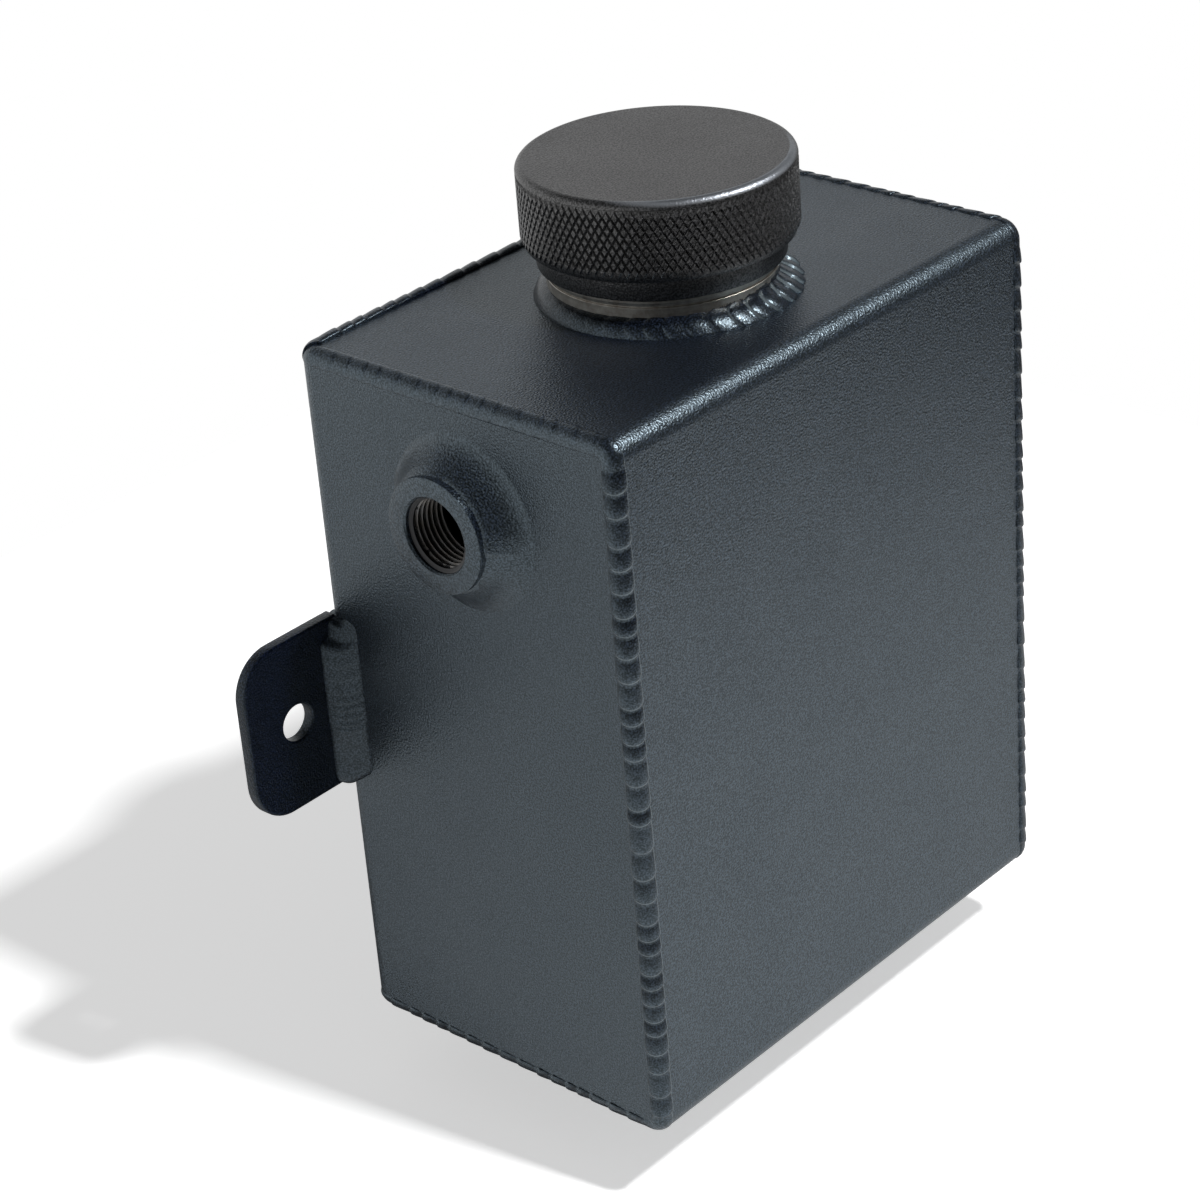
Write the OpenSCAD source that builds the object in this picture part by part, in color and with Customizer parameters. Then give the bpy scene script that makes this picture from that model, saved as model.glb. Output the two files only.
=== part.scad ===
// Coolant expansion tank: two folded aluminium sheets welded into a box, with a screw-capped
// filler neck, a threaded inlet on the left side, a threaded outlet underneath and two bolt-on tabs.
// X runs to the right, Y to the back, Z up. The origin is the centre of the outlet's mouth, on
// the surface that the tank stands on. All sizes are in millimetres.

/* [Tank body] */
// Width over the side sheets
tank_w = 136; // [116:1:220]
// Depth over the front and back sheets
tank_d = 88; // [78:1:140]
// Height over the top and bottom sheets
tank_h = 165; // [130:1:260]
// Thickness of the sheet
sheet_t = 3; // [2:0.5:4]
// Outer radius of the sheet's folds
fold_r = 4.5; // [4.5:0.5:7]

/* [Filler neck] */
// Place of the neck from the middle of the top, to the right
neck_x = -2; // [-8:0.5:8]
// Place of the neck from the middle of the top, to the back
neck_y = -1; // [-2:0.5:2]
// Bore of the neck
neck_bore_d = 38; // [30:0.5:40]
// Wall between the bore and the outside of the thread
neck_wall = 4.3; // [3.5:0.1:4.5]
// How far the collar stands out past the thread
collar_step = 1.5; // [1:0.1:2]
// Height of the collar over the top sheet
collar_h = 7; // [6:0.5:9]
// Height of the groove that parts the collar's two lands
collar_groove_z = 5.6; // [5.1:0.1:5.6]
// Width and depth of that groove
collar_groove = 0.4; // [0.2:0.1:0.6]
// Height of the rim over the top sheet
neck_h = 20; // [18:0.5:26]
// Chamfer on the rim and on the start of the thread
neck_chamfer = 1; // [0.5:0.1:1.5]
// How far the pilot in the sheet's hole is set in from the collar
pilot_step = 2.3; // [1.5:0.1:3]

/* [Filler cap] */
// Thickness of the smooth skirt below the knurled band
skirt_wall = 3.2; // [2.5:0.1:4]
// Height of the smooth skirt
skirt_h = 5.1; // [3:0.1:7]
// How far the knurled band stands out past the skirt
band_step = 3; // [2:0.1:4]
// Thickness of the crown over the seal
crown_t = 7.9; // [5:0.1:10]
// Radius of the crown's rounded edge
crown_edge_r = 2.4; // [1:0.1:4]
// Chamfer on the lower edge of the knurled band
band_chamfer = 0.8; // [0.4:0.1:1.2]
// Gap between the skirt and the collar when the cap is tight
skirt_gap = 0.5; // [0.3:0.1:1]
// Radial clearance between the cap's bore and the neck's thread
thread_clear = 0.08; // [0.05:0.01:0.1]
// Thickness of the flat seal
seal_t = 2; // [1:0.1:3]
// Clearance of the seal from the cap's bore and from the neck's bore
seal_margin = 0.5; // [0.3:0.1:1]

/* [Ports] */
// Outside diameter of the threaded bungs
bung_d = 25.6; // [23:0.1:30]
// Tapping diameter of the ports
port_bore_d = 15; // [11:0.1:16]
// Chamfer at the mouth of a port
port_chamfer = 0.6; // [0.4:0.1:1]
// Chamfer on a bung's outer edge
bung_chamfer = 0.5; // [0.3:0.1:1]
// How far a bung's pilot is set in from its outside
bung_pilot_step = 1.8; // [1:0.1:2.5]
// How far the inlet stands out of the left side
inlet_stand = 8.2; // [7.5:0.1:20]
// Depth of the inlet's axis below the top of the tank
inlet_drop = 28; // [26:1:40]
// Place of the inlet's axis from the middle of the side, to the back
inlet_y = -1; // [-8:0.5:8]
// How far the outlet stands out below the tank
outlet_stand = 19; // [12:0.5:30]

/* [Mounting tabs] */
// Reach of a tab from the tank's side
tab_reach = 28.5; // [24:0.5:40]
// Height of a tab
tab_h = 40.8; // [30:0.1:60]
// Thickness of a tab
tab_t = 3; // [2:0.5:4]
// Radius of a tab's outer corners
tab_corner_r = 10; // [4:0.5:14]
// Diameter of the bolt hole
tab_hole_d = 8.5; // [5:0.1:10]
// Distance of the bolt hole from the tank's side
tab_hole_out = 14.3; // [12:0.1:18]
// Height of the tabs' middle over the bottom of the tank
tab_mid_z = 82.5; // [50:0.5:100]

/* [Welds] */
// Length of one ripple along a seam
seam_pitch = 4.8; // [3:0.1:8]
// How far a seam's bead is filled past a quarter round
seam_fill = 0.15; // [0.05:0.05:0.4]
// Height of a ripple over the valley beside it
ripple_rise = 0.25; // [0.1:0.05:0.4]
// How far the middle of a ripple runs ahead of its toes
ripple_lead = 1.2; // [0:0.1:2]
// How far a bead's toes lap onto the sheets
seam_lap = 0.5; // [0.3:0.1:0.8]
// Length of one ripple round the neck
neck_weld_pitch = 4.4; // [3:0.1:8]
// Width of the neck's weld on the top sheet
neck_weld_leg = 4.4; // [2.5:0.1:5]
// Height of the neck's weld on the collar
neck_weld_h = 3.2; // [2.5:0.1:4.5]
// Width of the smooth weld round a bung
port_weld_w = 6.2; // [3:0.1:8]
// Height of the smooth weld at the bung
port_weld_h = 6.6; // [1:0.1:7]
// Width of a tab's front weld on the tab
tab_weld_reach = 6.4; // [3:0.1:7]
// Width of a tab's front weld on the tank's side
tab_weld_leg = 5.5; // [3:0.1:8]
// Gap between the ends of a tab's welds and the tab's upper and lower edges
tab_weld_gap = 0.5; // [0.3:0.1:3]
// Length over which an end of a tab's front weld tapers
tab_weld_end_length = 2; // [1:0.5:4]
// Width of the bead in the groove between a tab and the rear fold
groove_weld_w = 2.7; // [1.5:0.1:4]
// How far that bead stays below the back
groove_weld_relief = 0.4; // [0.2:0.1:1]
// How far the middle of a fillet weld stands out past the line between its toes
fillet_bulge = 0.3; // [0:0.05:0.5]

/* [Hidden] */
$fn = 96;

coating = "#2c3136";
bare_metal = "#b5b1a8";
rubber = "#161616";

// Heights of the tank's bottom and top
bottom_z = outlet_stand;
top_z = bottom_z + tank_h;
// Inner radius of a fold, and the inner corner of the open notch between two sheets
fold_in_r = fold_r - sheet_t;
notch_x = tank_w / 2 - sheet_t;
notch_y = tank_d / 2 - sheet_t;
// Radial clearance of a pilot in its sheet hole
pilot_clear = 0.1;
// Length by which a cutting solid runs past the face that it cuts
past = 1;

// Neck and cap, as radii from their common axis and heights from the top sheet
neck_bore_r = neck_bore_d / 2;
thread_r = neck_bore_r + neck_wall;
collar_r = thread_r + collar_step;
neck_pilot_r = collar_r - pilot_step;
cap_bore_r = thread_r + thread_clear;
skirt_r = cap_bore_r + skirt_wall;
band_r = skirt_r + band_step;
skirt_z = collar_h + skirt_gap;
band_z = skirt_z + skirt_h;
ceiling_z = neck_h + seal_t;
crown_z = ceiling_z + crown_t;

// Ports, along their own axes from the sheet's outer face
bung_r = bung_d / 2;
port_bore_r = port_bore_d / 2;
bung_pilot_r = bung_r - bung_pilot_step;
inlet_z = top_z - inlet_drop;

tab_z = bottom_z + tab_mid_z;

// Facets across a bead's crown and along a quarter of a corner
crown_steps = 6;
corner_step = 15;
// Where the slope and the crest of a ripple lie, as shares of its length
slope_at = 0.45;
crest_at = 0.8;
// Washed-out profile of a bung's weld, as shares of its width and of its height
wash_profile = [[0.92, 0.06], [0.78, 0.16], [0.6, 0.31], [0.4, 0.52], [0.2, 0.76]];
// Taper at an end of a tab's front weld, as a share of its length and of the weld's full size
taper_profile = [[0, 0.6], [0.5, 0.9], [1, 0.97]];

// Flat shape with square corners on the right and rounded corners on the left
module left_rounded(length, height, r) {
    translate([r, 0]) square([length - r, height]);
    translate([0, r]) square([r, height - 2 * r]);
    translate([r, r]) circle(r);
    translate([r, height - r]) circle(r);
}

// Channel section of a folded sheet, open to the right
module folded_sheet(length, height) {
    difference() {
        left_rounded(length, height, fold_r);
        translate([sheet_t, sheet_t])
            left_rounded(length, height - 2 * sheet_t, fold_in_r);
    }
}

// Turns a flat shape drawn from front to back and upwards into a slab across the tank
module across_tank(width) {
    translate([-width / 2, -tank_d / 2, bottom_z])
        rotate([90, 0, 90])
            linear_extrude(width) children();
}

// Turns a flat shape drawn from back to front and across into an upright slab
module up_tank(low, height) {
    translate([-tank_w / 2, tank_d / 2, low])
        rotate([0, 0, -90])
            linear_extrude(height) children();
}

// Places a turned piece on the neck's axis, at the height of the top sheet
module on_neck() {
    translate([neck_x, neck_y, top_z]) children();
}

// Places a turned piece on the inlet's axis, pointing out of the left side
module on_inlet() {
    translate([-tank_w / 2, inlet_y, inlet_z]) rotate([0, -90, 0]) children();
}

// Places a turned piece on the outlet's axis, pointing down
module on_outlet() {
    translate([0, 0, bottom_z]) rotate([180, 0, 0]) children();
}

// Hole through a sheet for a pilot, from the sheet's outer face inwards
module pilot_hole(r) {
    translate([0, 0, -sheet_t - past]) cylinder(r = r + pilot_clear, h = sheet_t + 2 * past);
}

// Top, front and bottom in one folded sheet
module front_shell() {
    color(coating) difference() {
        intersection() {
            across_tank(tank_w - 2 * sheet_t) folded_sheet(tank_d - sheet_t, tank_h);
            translate([sheet_t, -sheet_t, 0])
                up_tank(bottom_z - past, tank_h + 2 * past)
                    left_rounded(tank_d, tank_w - 2 * sheet_t, fold_in_r);
        }
        on_neck() pilot_hole(neck_pilot_r);
        on_outlet() pilot_hole(bung_pilot_r);
    }
}

// Left, back and right in one folded sheet
module rear_shell() {
    color(coating) difference() {
        intersection() {
            up_tank(bottom_z + sheet_t, tank_h - 2 * sheet_t) folded_sheet(tank_d - sheet_t, tank_w);
            translate([0, sheet_t, sheet_t])
                across_tank(tank_w + 2 * past)
                    left_rounded(tank_d, tank_h - 2 * sheet_t, fold_in_r);
        }
        on_inlet() pilot_hole(bung_pilot_r);
    }
}

// Turned neck: pilot in the sheet, collar with a fine groove, and a barrel for the cap's thread
module filler_neck() {
    color(bare_metal) on_neck() rotate_extrude() polygon([
        [neck_bore_r, -sheet_t],
        [neck_pilot_r, -sheet_t],
        [neck_pilot_r, 0],
        [collar_r, 0],
        [collar_r, collar_groove_z - collar_groove],
        [collar_r - collar_groove, collar_groove_z],
        [collar_r, collar_groove_z + collar_groove],
        [collar_r, collar_h],
        [thread_r, collar_h],
        [thread_r, neck_h - neck_chamfer],
        [thread_r - neck_chamfer, neck_h],
        [neck_bore_r, neck_h]
    ]);
}

// Outline of half the cap, from the skirt's bore round to the middle of the crown
module cap_section() {
    difference() {
        union() {
            translate([0, skirt_z]) square([skirt_r, crown_z - skirt_z]);
            translate([0, band_z + band_chamfer])
                square([band_r, crown_z - crown_edge_r - band_z - band_chamfer]);
            translate([0, crown_z - crown_edge_r]) square([band_r - crown_edge_r, crown_edge_r]);
            translate([band_r - crown_edge_r, crown_z - crown_edge_r])
                intersection() {
                    circle(crown_edge_r);
                    square(crown_edge_r);
                }
            polygon([
                [0, band_z], [band_r - band_chamfer, band_z], [band_r, band_z + band_chamfer],
                [0, band_z + band_chamfer]
            ]);
        }
        translate([-past, skirt_z - past]) square([past + cap_bore_r, ceiling_z - skirt_z + past]);
    }
}

module filler_cap() {
    color(coating) on_neck() rotate_extrude() cap_section();
}

// Flat rubber ring between the neck's rim and the cap's ceiling
module cap_seal() {
    color(rubber) on_neck() translate([0, 0, neck_h]) difference() {
        cylinder(r = cap_bore_r - seal_margin, h = seal_t);
        translate([0, 0, -past]) cylinder(r = neck_bore_r + seal_margin, h = seal_t + 2 * past);
    }
}

// Turned bung with a pilot through the sheet and a tapped bore, standing out by `stand`
module bung(stand) {
    difference() {
        rotate_extrude() polygon([
            [0, -sheet_t],
            [bung_pilot_r, -sheet_t],
            [bung_pilot_r, 0],
            [bung_r, 0],
            [bung_r, stand - bung_chamfer],
            [bung_r - bung_chamfer, stand],
            [0, stand]
        ]);
        translate([0, 0, -sheet_t - past]) cylinder(r = port_bore_r, h = sheet_t + stand + 2 * past);
        translate([0, 0, stand - port_chamfer])
            rotate_extrude() polygon([
                [0, 0], [port_bore_r, 0], [port_bore_r + port_chamfer + past, port_chamfer + past],
                [0, port_chamfer + past]
            ]);
    }
}

module inlet_bung() {
    color(coating) on_inlet() bung(inlet_stand);
}

module outlet_bung() {
    color(coating) on_outlet() bung(outlet_stand);
}

// Smooth, washed-out weld round a bung: steep at the bung and thin at its rim
module port_weld() {
    rotate_extrude() polygon([
        [bung_r, 0],
        [bung_r + port_weld_w, 0],
        for (share = wash_profile) [bung_r + port_weld_w * share.x, port_weld_h * share.y],
        [bung_r, port_weld_h]
    ]);
}

module inlet_weld() {
    color(coating) on_inlet() port_weld();
}

module outlet_weld() {
    color(coating) on_outlet() port_weld();
}

// Flat tab, flush with the back of the tank, with two rounded outer corners and a bolt hole
module left_bracket() {
    color(coating)
        translate([-tank_w / 2 - tab_reach, tank_d / 2, tab_z - tab_h / 2])
            rotate([90, 0, 0]) linear_extrude(tab_t) difference() {
                left_rounded(tab_reach, tab_h, tab_corner_r);
                translate([tab_reach - tab_hole_out, tab_h / 2]) circle(d = tab_hole_d);
            }
}

// Bead that fills the groove between the tab's edge and the rear fold
module left_bracket_rear_weld() {
    color(coating)
        translate([-tank_w / 2, tank_d / 2 - fold_r, tab_z - tab_h / 2 + tab_weld_gap])
            linear_extrude(tab_h - 2 * tab_weld_gap) difference() {
                square([groove_weld_w, fold_r - groove_weld_relief]);
                translate([fold_r, 0]) circle(fold_r);
            }
}

// Section of a seam's bead: the notch's inner corner and edges, two toes lapped onto the
// sheets, and a round crown between them; x is the way out of sheet b, y out of sheet a
function seam_section(rise, lap) =
    let (open = atan(lap / sheet_t), r = sheet_t + seam_fill + rise)
    concat(
        [[0, 0], [0, sheet_t], [-lap, sheet_t]],
        [for (k = [1:crown_steps - 1])
            let (a = -open + (90 + 2 * open) * k / crown_steps) [r * sin(a), r * cos(a)]],
        [[sheet_t, -lap], [sheet_t, 0]]
    );

// Section of a fillet weld: its root, then the crown from toe a, up y, to toe b, along x
function fillet_section(leg_a, leg_b, bulge) =
    let (out = [leg_a, leg_b] / norm([leg_a, leg_b]))
    concat([[0, 0]], [for (k = [0:crown_steps])
        let (s = k / crown_steps) [leg_b * s, leg_a * (1 - s)] + out * bulge * sin(180 * s)]);

// How far point k of a section runs ahead of its toes, from 0 at the toes to 1 at the middle
function lead_share(k, count) = sin(180 * k / count);

// Triangles of the skin between rings of `m` points, each ring numbered on from the last
function skin_faces(rings, m, closed) = [
    for (j = [0:rings - (closed ? 1 : 2)], k = [0:m - 1])
        let (i = (j + 1) % rings, n = (k + 1) % m)
            each [[j * m + k, j * m + n, i * m + n], [j * m + k, i * m + n, i * m + k]]
];

// Triangles and end faces of a bead with two ends
function bead_faces(rings, m) = concat(
    skin_faces(rings, m, false),
    [[for (k = [m - 1:-1:0]) k], [for (k = [0:m - 1]) (rings - 1) * m + k]]
);

// Faces turned over, for a bead drawn in left-handed directions
function turned(faces) = [for (f = faces) [for (k = [len(f) - 1:-1:0]) f[k]]];

// Point of a section after the bead has turned by `angle` round a folded corner, away from
// its end; the sheet that folds there is "a" or "b"
function round_corner(p, angle, fold) =
    fold == "a"
        ? [p.x, (p.y + fold_in_r) * cos(angle) - fold_in_r, (p.y + fold_in_r) * sin(angle)]
        : [(p.x + fold_in_r) * cos(angle) - fold_in_r, p.y, (p.x + fold_in_r) * sin(angle)];

// Rings of a seam's bead along z: half a corner, a straight run of ripples, half a corner
function seam_rings(length, fold_start, fold_end) =
    let (
        count = max(1, round(length / seam_pitch)),
        pitch = length / count,
        crest = seam_section(ripple_rise, seam_lap),
        valley = seam_section(0, seam_lap / 2),
        m = len(crest),
        lead = [for (k = [0:m - 1]) ripple_lead * (lead_share(k, m - 1) - 0.5)]
    )
    concat(
        [for (angle = [45:-corner_step:corner_step])
            [for (p = valley) let (q = round_corner(p, angle, fold_start)) [q.x, q.y, -q.z]]],
        [[for (p = valley) [p.x, p.y, 0]]],
        [for (i = [0:count - 1], top = [true, false])
            let (z = (i + (top ? crest_at : 1)) * pitch, section = top ? crest : valley)
                [for (k = [0:m - 1])
                    [section[k].x, section[k].y, z + (i == count - 1 && !top ? 0 : lead[k])]]],
        [for (angle = [corner_step:corner_step:45])
            [for (p = valley) let (q = round_corner(p, angle, fold_end)) [q.x, q.y, q.z + length]]]
    );

// Bead in the open notch between sheets a and b, from `start` along `along`; out_a and out_b
// point out of the two sheets, and the fold names say which sheet turns at each end
module seam(start, along, length, out_a, out_b, fold_start, fold_end) {
    rings = seam_rings(length, fold_start, fold_end);
    m = len(rings[0]);
    faces = bead_faces(len(rings), m);
    right_handed = cross(out_b, out_a) * along > 0;
    color(coating) polyhedron(
        [for (ring = rings, p = ring) start + out_b * p.x + out_a * p.y + along * p.z],
        right_handed ? faces : turned(faces)
    );
}

module left_top_seam() {
    seam([-notch_x, tank_d / 2 - fold_r, top_z - sheet_t], [0, -1, 0], tank_d - 2 * fold_r,
        [0, 0, 1], [-1, 0, 0], "b", "a");
}

module left_front_seam() {
    seam([-notch_x, -notch_y, top_z - fold_r], [0, 0, -1], tank_h - 2 * fold_r,
        [0, -1, 0], [-1, 0, 0], "a", "a");
}

module left_bottom_seam() {
    seam([-notch_x, -tank_d / 2 + fold_r, bottom_z + sheet_t], [0, 1, 0], tank_d - 2 * fold_r,
        [0, 0, -1], [-1, 0, 0], "a", "b");
}

module rear_top_seam() {
    seam([-tank_w / 2 + fold_r, notch_y, top_z - sheet_t], [1, 0, 0], tank_w - 2 * fold_r,
        [0, 0, 1], [0, 1, 0], "b", "b");
}

module rear_bottom_seam() {
    seam([-tank_w / 2 + fold_r, notch_y, bottom_z + sheet_t], [1, 0, 0], tank_w - 2 * fold_r,
        [0, 0, -1], [0, 1, 0], "b", "b");
}

// Rippled fillet weld round the neck's collar, laid clockwise on the top sheet
module neck_weld() {
    count = round(2 * PI * (collar_r + neck_weld_leg / 2) / neck_weld_pitch);
    root_r = collar_r / cos(180 * slope_at / count);
    valley = fillet_section(neck_weld_h, neck_weld_leg - ripple_rise, fillet_bulge);
    middle = fillet_section(neck_weld_h, neck_weld_leg, fillet_bulge + ripple_rise);
    crest = fillet_section(neck_weld_h, neck_weld_leg, fillet_bulge + 2 * ripple_rise);
    m = len(valley);
    shares = [0, slope_at, crest_at];
    points = [for (i = [0:count - 1], s = [0:2])
        let (section = [valley, middle, crest][s])
            for (k = [0:m - 1])
                let (
                    p = section[k],
                    ahead = ripple_lead * lead_share(k, m) / collar_r * 180 / PI,
                    angle = -(i + shares[s]) * 360 / count - ahead
                )
                    [(root_r + p.x) * cos(angle), (root_r + p.x) * sin(angle), p.y]];
    color(coating) on_neck() polyhedron(points, skin_faces(count * 3, m, true));
}

// Broad fillet weld down the front of the tab, with rounded ends
module left_bracket_front_weld() {
    whole = tab_h - 2 * tab_weld_gap;
    length = whole - 2 * tab_weld_end_length;
    count = max(1, round(length / seam_pitch));
    pitch = length / count;
    function section(share, rise) =
        fillet_section(tab_weld_leg * share, tab_weld_reach * share, fillet_bulge + rise);
    start = [for (t = taper_profile) [tab_weld_end_length * t.x, section(t.y, 0)]];
    valley = start[len(start) - 1][1];
    rings = concat(
        start,
        [for (i = [0:count - 1], top = [true, false])
            let (z = tab_weld_end_length + (i + (top ? crest_at : 1)) * pitch)
                [z, top ? section(1, ripple_rise) : valley]],
        [for (k = [len(start) - 2:-1:0]) [whole - start[k][0], start[k][1]]]
    );
    m = len(rings[0][1]);
    color(coating)
        translate([-tank_w / 2, tank_d / 2 - tab_t, tab_z + tab_h / 2 - tab_weld_gap])
            polyhedron(
                [for (ring = rings, p = ring[1]) [-p.x, -p.y, -ring[0]]],
                turned(bead_faces(len(rings), m))
            );
}

front_shell();
rear_shell();
filler_neck();
filler_cap();
cap_seal();
inlet_bung();
outlet_bung();
left_bracket();
mirror([1, 0, 0]) left_bracket();  // right_bracket
left_top_seam();
left_front_seam();
left_bottom_seam();
mirror([1, 0, 0]) left_top_seam();  // right_top_seam
mirror([1, 0, 0]) left_front_seam();  // right_front_seam
mirror([1, 0, 0]) left_bottom_seam();  // right_bottom_seam
rear_top_seam();
rear_bottom_seam();
neck_weld();
inlet_weld();
outlet_weld();
left_bracket_front_weld();
mirror([1, 0, 0]) left_bracket_front_weld();  // right_bracket_front_weld
left_bracket_rear_weld();
mirror([1, 0, 0]) left_bracket_rear_weld();  // right_bracket_rear_weld
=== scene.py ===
"""Looks of a coolant expansion tank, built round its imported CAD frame.

The two folded sheets and the cap's seal stay as the CAD's own solids and only get their coating. The weld
beads, the cap, the neck, the threaded bungs and the mounting tabs are modelled here in finer detail and
take the place of their CAD solids.

All sizes are in metres and all places in the frame's own axes: X to the right, Y to the back, Z up.
"""

import logging
import math
import random
from collections.abc import Callable, Iterator, Sequence
from contextlib import contextmanager
from dataclasses import dataclass, field
from enum import Enum

import bmesh
import bpy
from mathutils import Euler, Matrix, Vector

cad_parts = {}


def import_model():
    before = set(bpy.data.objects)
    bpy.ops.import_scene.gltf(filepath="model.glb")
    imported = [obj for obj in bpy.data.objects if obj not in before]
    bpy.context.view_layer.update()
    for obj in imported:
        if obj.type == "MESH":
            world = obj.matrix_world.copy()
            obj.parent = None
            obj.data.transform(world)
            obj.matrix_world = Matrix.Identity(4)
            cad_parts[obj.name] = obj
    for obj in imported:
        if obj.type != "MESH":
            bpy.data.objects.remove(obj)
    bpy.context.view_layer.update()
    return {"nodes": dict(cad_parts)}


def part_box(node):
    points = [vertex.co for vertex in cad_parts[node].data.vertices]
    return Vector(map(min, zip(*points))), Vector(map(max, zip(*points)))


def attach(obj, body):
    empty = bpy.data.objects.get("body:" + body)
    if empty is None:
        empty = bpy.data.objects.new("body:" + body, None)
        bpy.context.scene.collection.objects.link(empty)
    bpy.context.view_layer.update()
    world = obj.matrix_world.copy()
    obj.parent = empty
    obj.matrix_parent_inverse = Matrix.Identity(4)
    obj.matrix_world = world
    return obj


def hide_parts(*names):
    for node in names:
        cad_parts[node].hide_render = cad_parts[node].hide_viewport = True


LOG = logging.getLogger("tank")
MM = 0.001
# Name of the mesh attribute that tells a finish where ripples step up and where they fall off; finishes paint
# a highlight where it is above 0 and shade where it is below
PAINTED_LIGHT_MARKS = "ripples"
# Distance up to which two vertices are one
MERGE = 0.002 * MM
# Angle in degrees up to which a weld is shaded as one surface
WELD_SMOOTH = 50.0
# Steepness from which a ripple's step is marked, and how much steeper it is where the mark is 1
STEP_FROM = 0.25
STEP_SPAN = 0.35
# The same for the slope behind the step
LEE_FROM = 0.02
LEE_SPAN = 0.08
# Facets of a thread in one turn
THREAD_STEPS = 72
# Half the width of a thread's crest, as a share of the width of its foot
THREAD_FLAT = 0.12
# How far a vertex may lie from the place by which it is picked
NEAR = 0.1 * MM

Triple = tuple[float, float, float]
Pair = tuple[float, float]
Pairs = tuple[Pair, ...]
Inputs = dict[str | int, object]
Piece = bpy.types.Object
Socket = bpy.types.NodeSocket


class Body(Enum):
    """Bodies of the frame that pieces ride on."""

    TANK = "tank"
    CAP = "cap"


class Slot(Enum):
    """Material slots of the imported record."""

    SHEET = "coated_sheet"
    WELD = "coated_weld"
    CAP = "coated_cap"
    BARE = "bare_aluminium"


class Finish(Enum):
    """Finishes of the tank, with the names of their materials."""

    SHEET = "Slate coating"
    # Darker, less glossy copies of the slate coating, as painted shade on the tabs and on the welds of the
    # tabs, the right side and the back
    TAB = "Slate coating on tabs"
    TAB_WELD = "Slate coating on tab welds"
    WELD = "Slate coating on welds"
    CAP = "Blasted black coating"
    NECK = "Bare turned metal"
    THREAD = "Bare thread"
    # Bare thread in a darker grey, as painted shade inside the inlet's bore
    INLET_THREAD = "Bare inlet thread"
    RUBBER = "Seal rubber"


class Part(Enum):
    """Kinds of mesh element that can be picked."""

    EDGE = "edges"
    FACE = "faces"


class Fold(Enum):
    """Which of a seam's two sheets folds at an end of the seam."""

    A = "a"
    B = "b"


def nearness(angle: float) -> float:
    """1 at an angle of 0, falling to 0 at half a turn."""
    return 0.5 + 0.5 * math.cos(angle)


def take(piece: Piece) -> None:
    """Makes one object the only selected one and the active one.

    Args:
        piece: The object.
    """
    bpy.ops.object.select_all(action="DESELECT")
    piece.select_set(True)
    bpy.context.view_layer.objects.active = piece


@contextmanager
def editing(piece: Piece) -> Iterator[None]:
    """Edit mode on one object, with everything in it selected.

    Args:
        piece: The mesh object to edit.
    """
    take(piece)
    bpy.ops.object.mode_set(mode="EDIT")
    bpy.ops.mesh.select_mode(type="VERT")
    bpy.ops.mesh.select_all(action="SELECT")
    try:
        yield
    finally:
        bpy.ops.object.mode_set(mode="OBJECT")


def pick(piece: Piece, part: Part, test: Callable[[object], bool]) -> None:
    """Selects only the elements that pass a test, in edit mode.

    Args:
        piece: The mesh object in edit mode.
        part: The kind of element.
        test: Takes one edge or face and says whether it is picked.
    """
    bpy.ops.mesh.select_mode(type=part.name)
    bpy.ops.mesh.select_all(action="DESELECT")
    shape = bmesh.from_edit_mesh(piece.data)
    for item in [item for item in getattr(shape, part.value) if test(item)]:
        item.select_set(True)
    bmesh.update_edit_mesh(piece.data)


def turn(angle: float, axis: str, centre: Triple = (0, 0, 0)) -> None:
    """Turns the selection by the right-hand rule; with no window the operator itself turns the other way.

    Args:
        angle: Angle in radians.
        axis: Name of the axis, "X", "Y" or "Z".
        centre: Point on the axis.
    """
    bpy.ops.transform.rotate(value=-angle, orient_axis=axis, orient_type="GLOBAL", center_override=centre)


def scale(factors: Triple, centre: Triple) -> None:
    """Scales the selection along the three axes, about a point that stays."""
    bpy.ops.transform.resize(value=factors, center_override=centre)


def extrude(by: Triple = (0, 0, 0)) -> None:
    """Extrudes the selection and moves what is new."""
    bpy.ops.mesh.extrude_region_move(TRANSFORM_OT_translate={"value": by})


def grow_rings(rings: Sequence[Triple], foot: Pair = (0, 0)) -> None:
    """Extrudes the selected ring along Z from height to height, with a size of its own at each.

    Args:
        rings: Height, width and depth of each ring; the first is the selected one.
        foot: X and Y of the point from which the sizes are measured.
    """
    here, wide, deep = rings[0]
    for there, new_wide, new_deep in rings[1:]:
        extrude((0, 0, there - here))
        scale((new_wide / wide, new_deep / deep, 1.0), (*foot, there))
        here, wide, deep = there, new_wide, new_deep


def face_outwards() -> None:
    """Merges doubled vertices of the edited piece and turns its faces outwards."""
    bpy.ops.mesh.select_mode(type="VERT")
    bpy.ops.mesh.select_all(action="SELECT")
    bpy.ops.mesh.remove_doubles(threshold=MERGE)
    bpy.ops.mesh.normals_make_consistent(inside=False)


def draw_line(points: Sequence[Triple]) -> Piece:
    """Draws a line of edges by extruding one vertex from point to point.

    Args:
        points: Places of the line's vertices.

    Returns:
        The new object, which holds edges only.
    """
    bpy.ops.object.select_all(action="DESELECT")
    bpy.ops.mesh.primitive_plane_add(size=MM, location=(0, 0, 0))
    line = bpy.context.active_object
    with editing(line):
        bpy.ops.mesh.merge(type="CENTER")
        bpy.ops.transform.translate(value=points[0])
        for here, there in zip(points, points[1:]):
            extrude(tuple(Vector(there) - Vector(here)))
    return line


def draw_loop(points: Sequence[Triple]) -> Piece:
    """Draws a closed line of edges.

    Args:
        points: Places of the line's vertices.

    Returns:
        The new object, which holds edges only.
    """
    loop = draw_line([*points, points[0]])
    with editing(loop):
        bpy.ops.mesh.remove_doubles(threshold=MERGE)
    return loop


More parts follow.
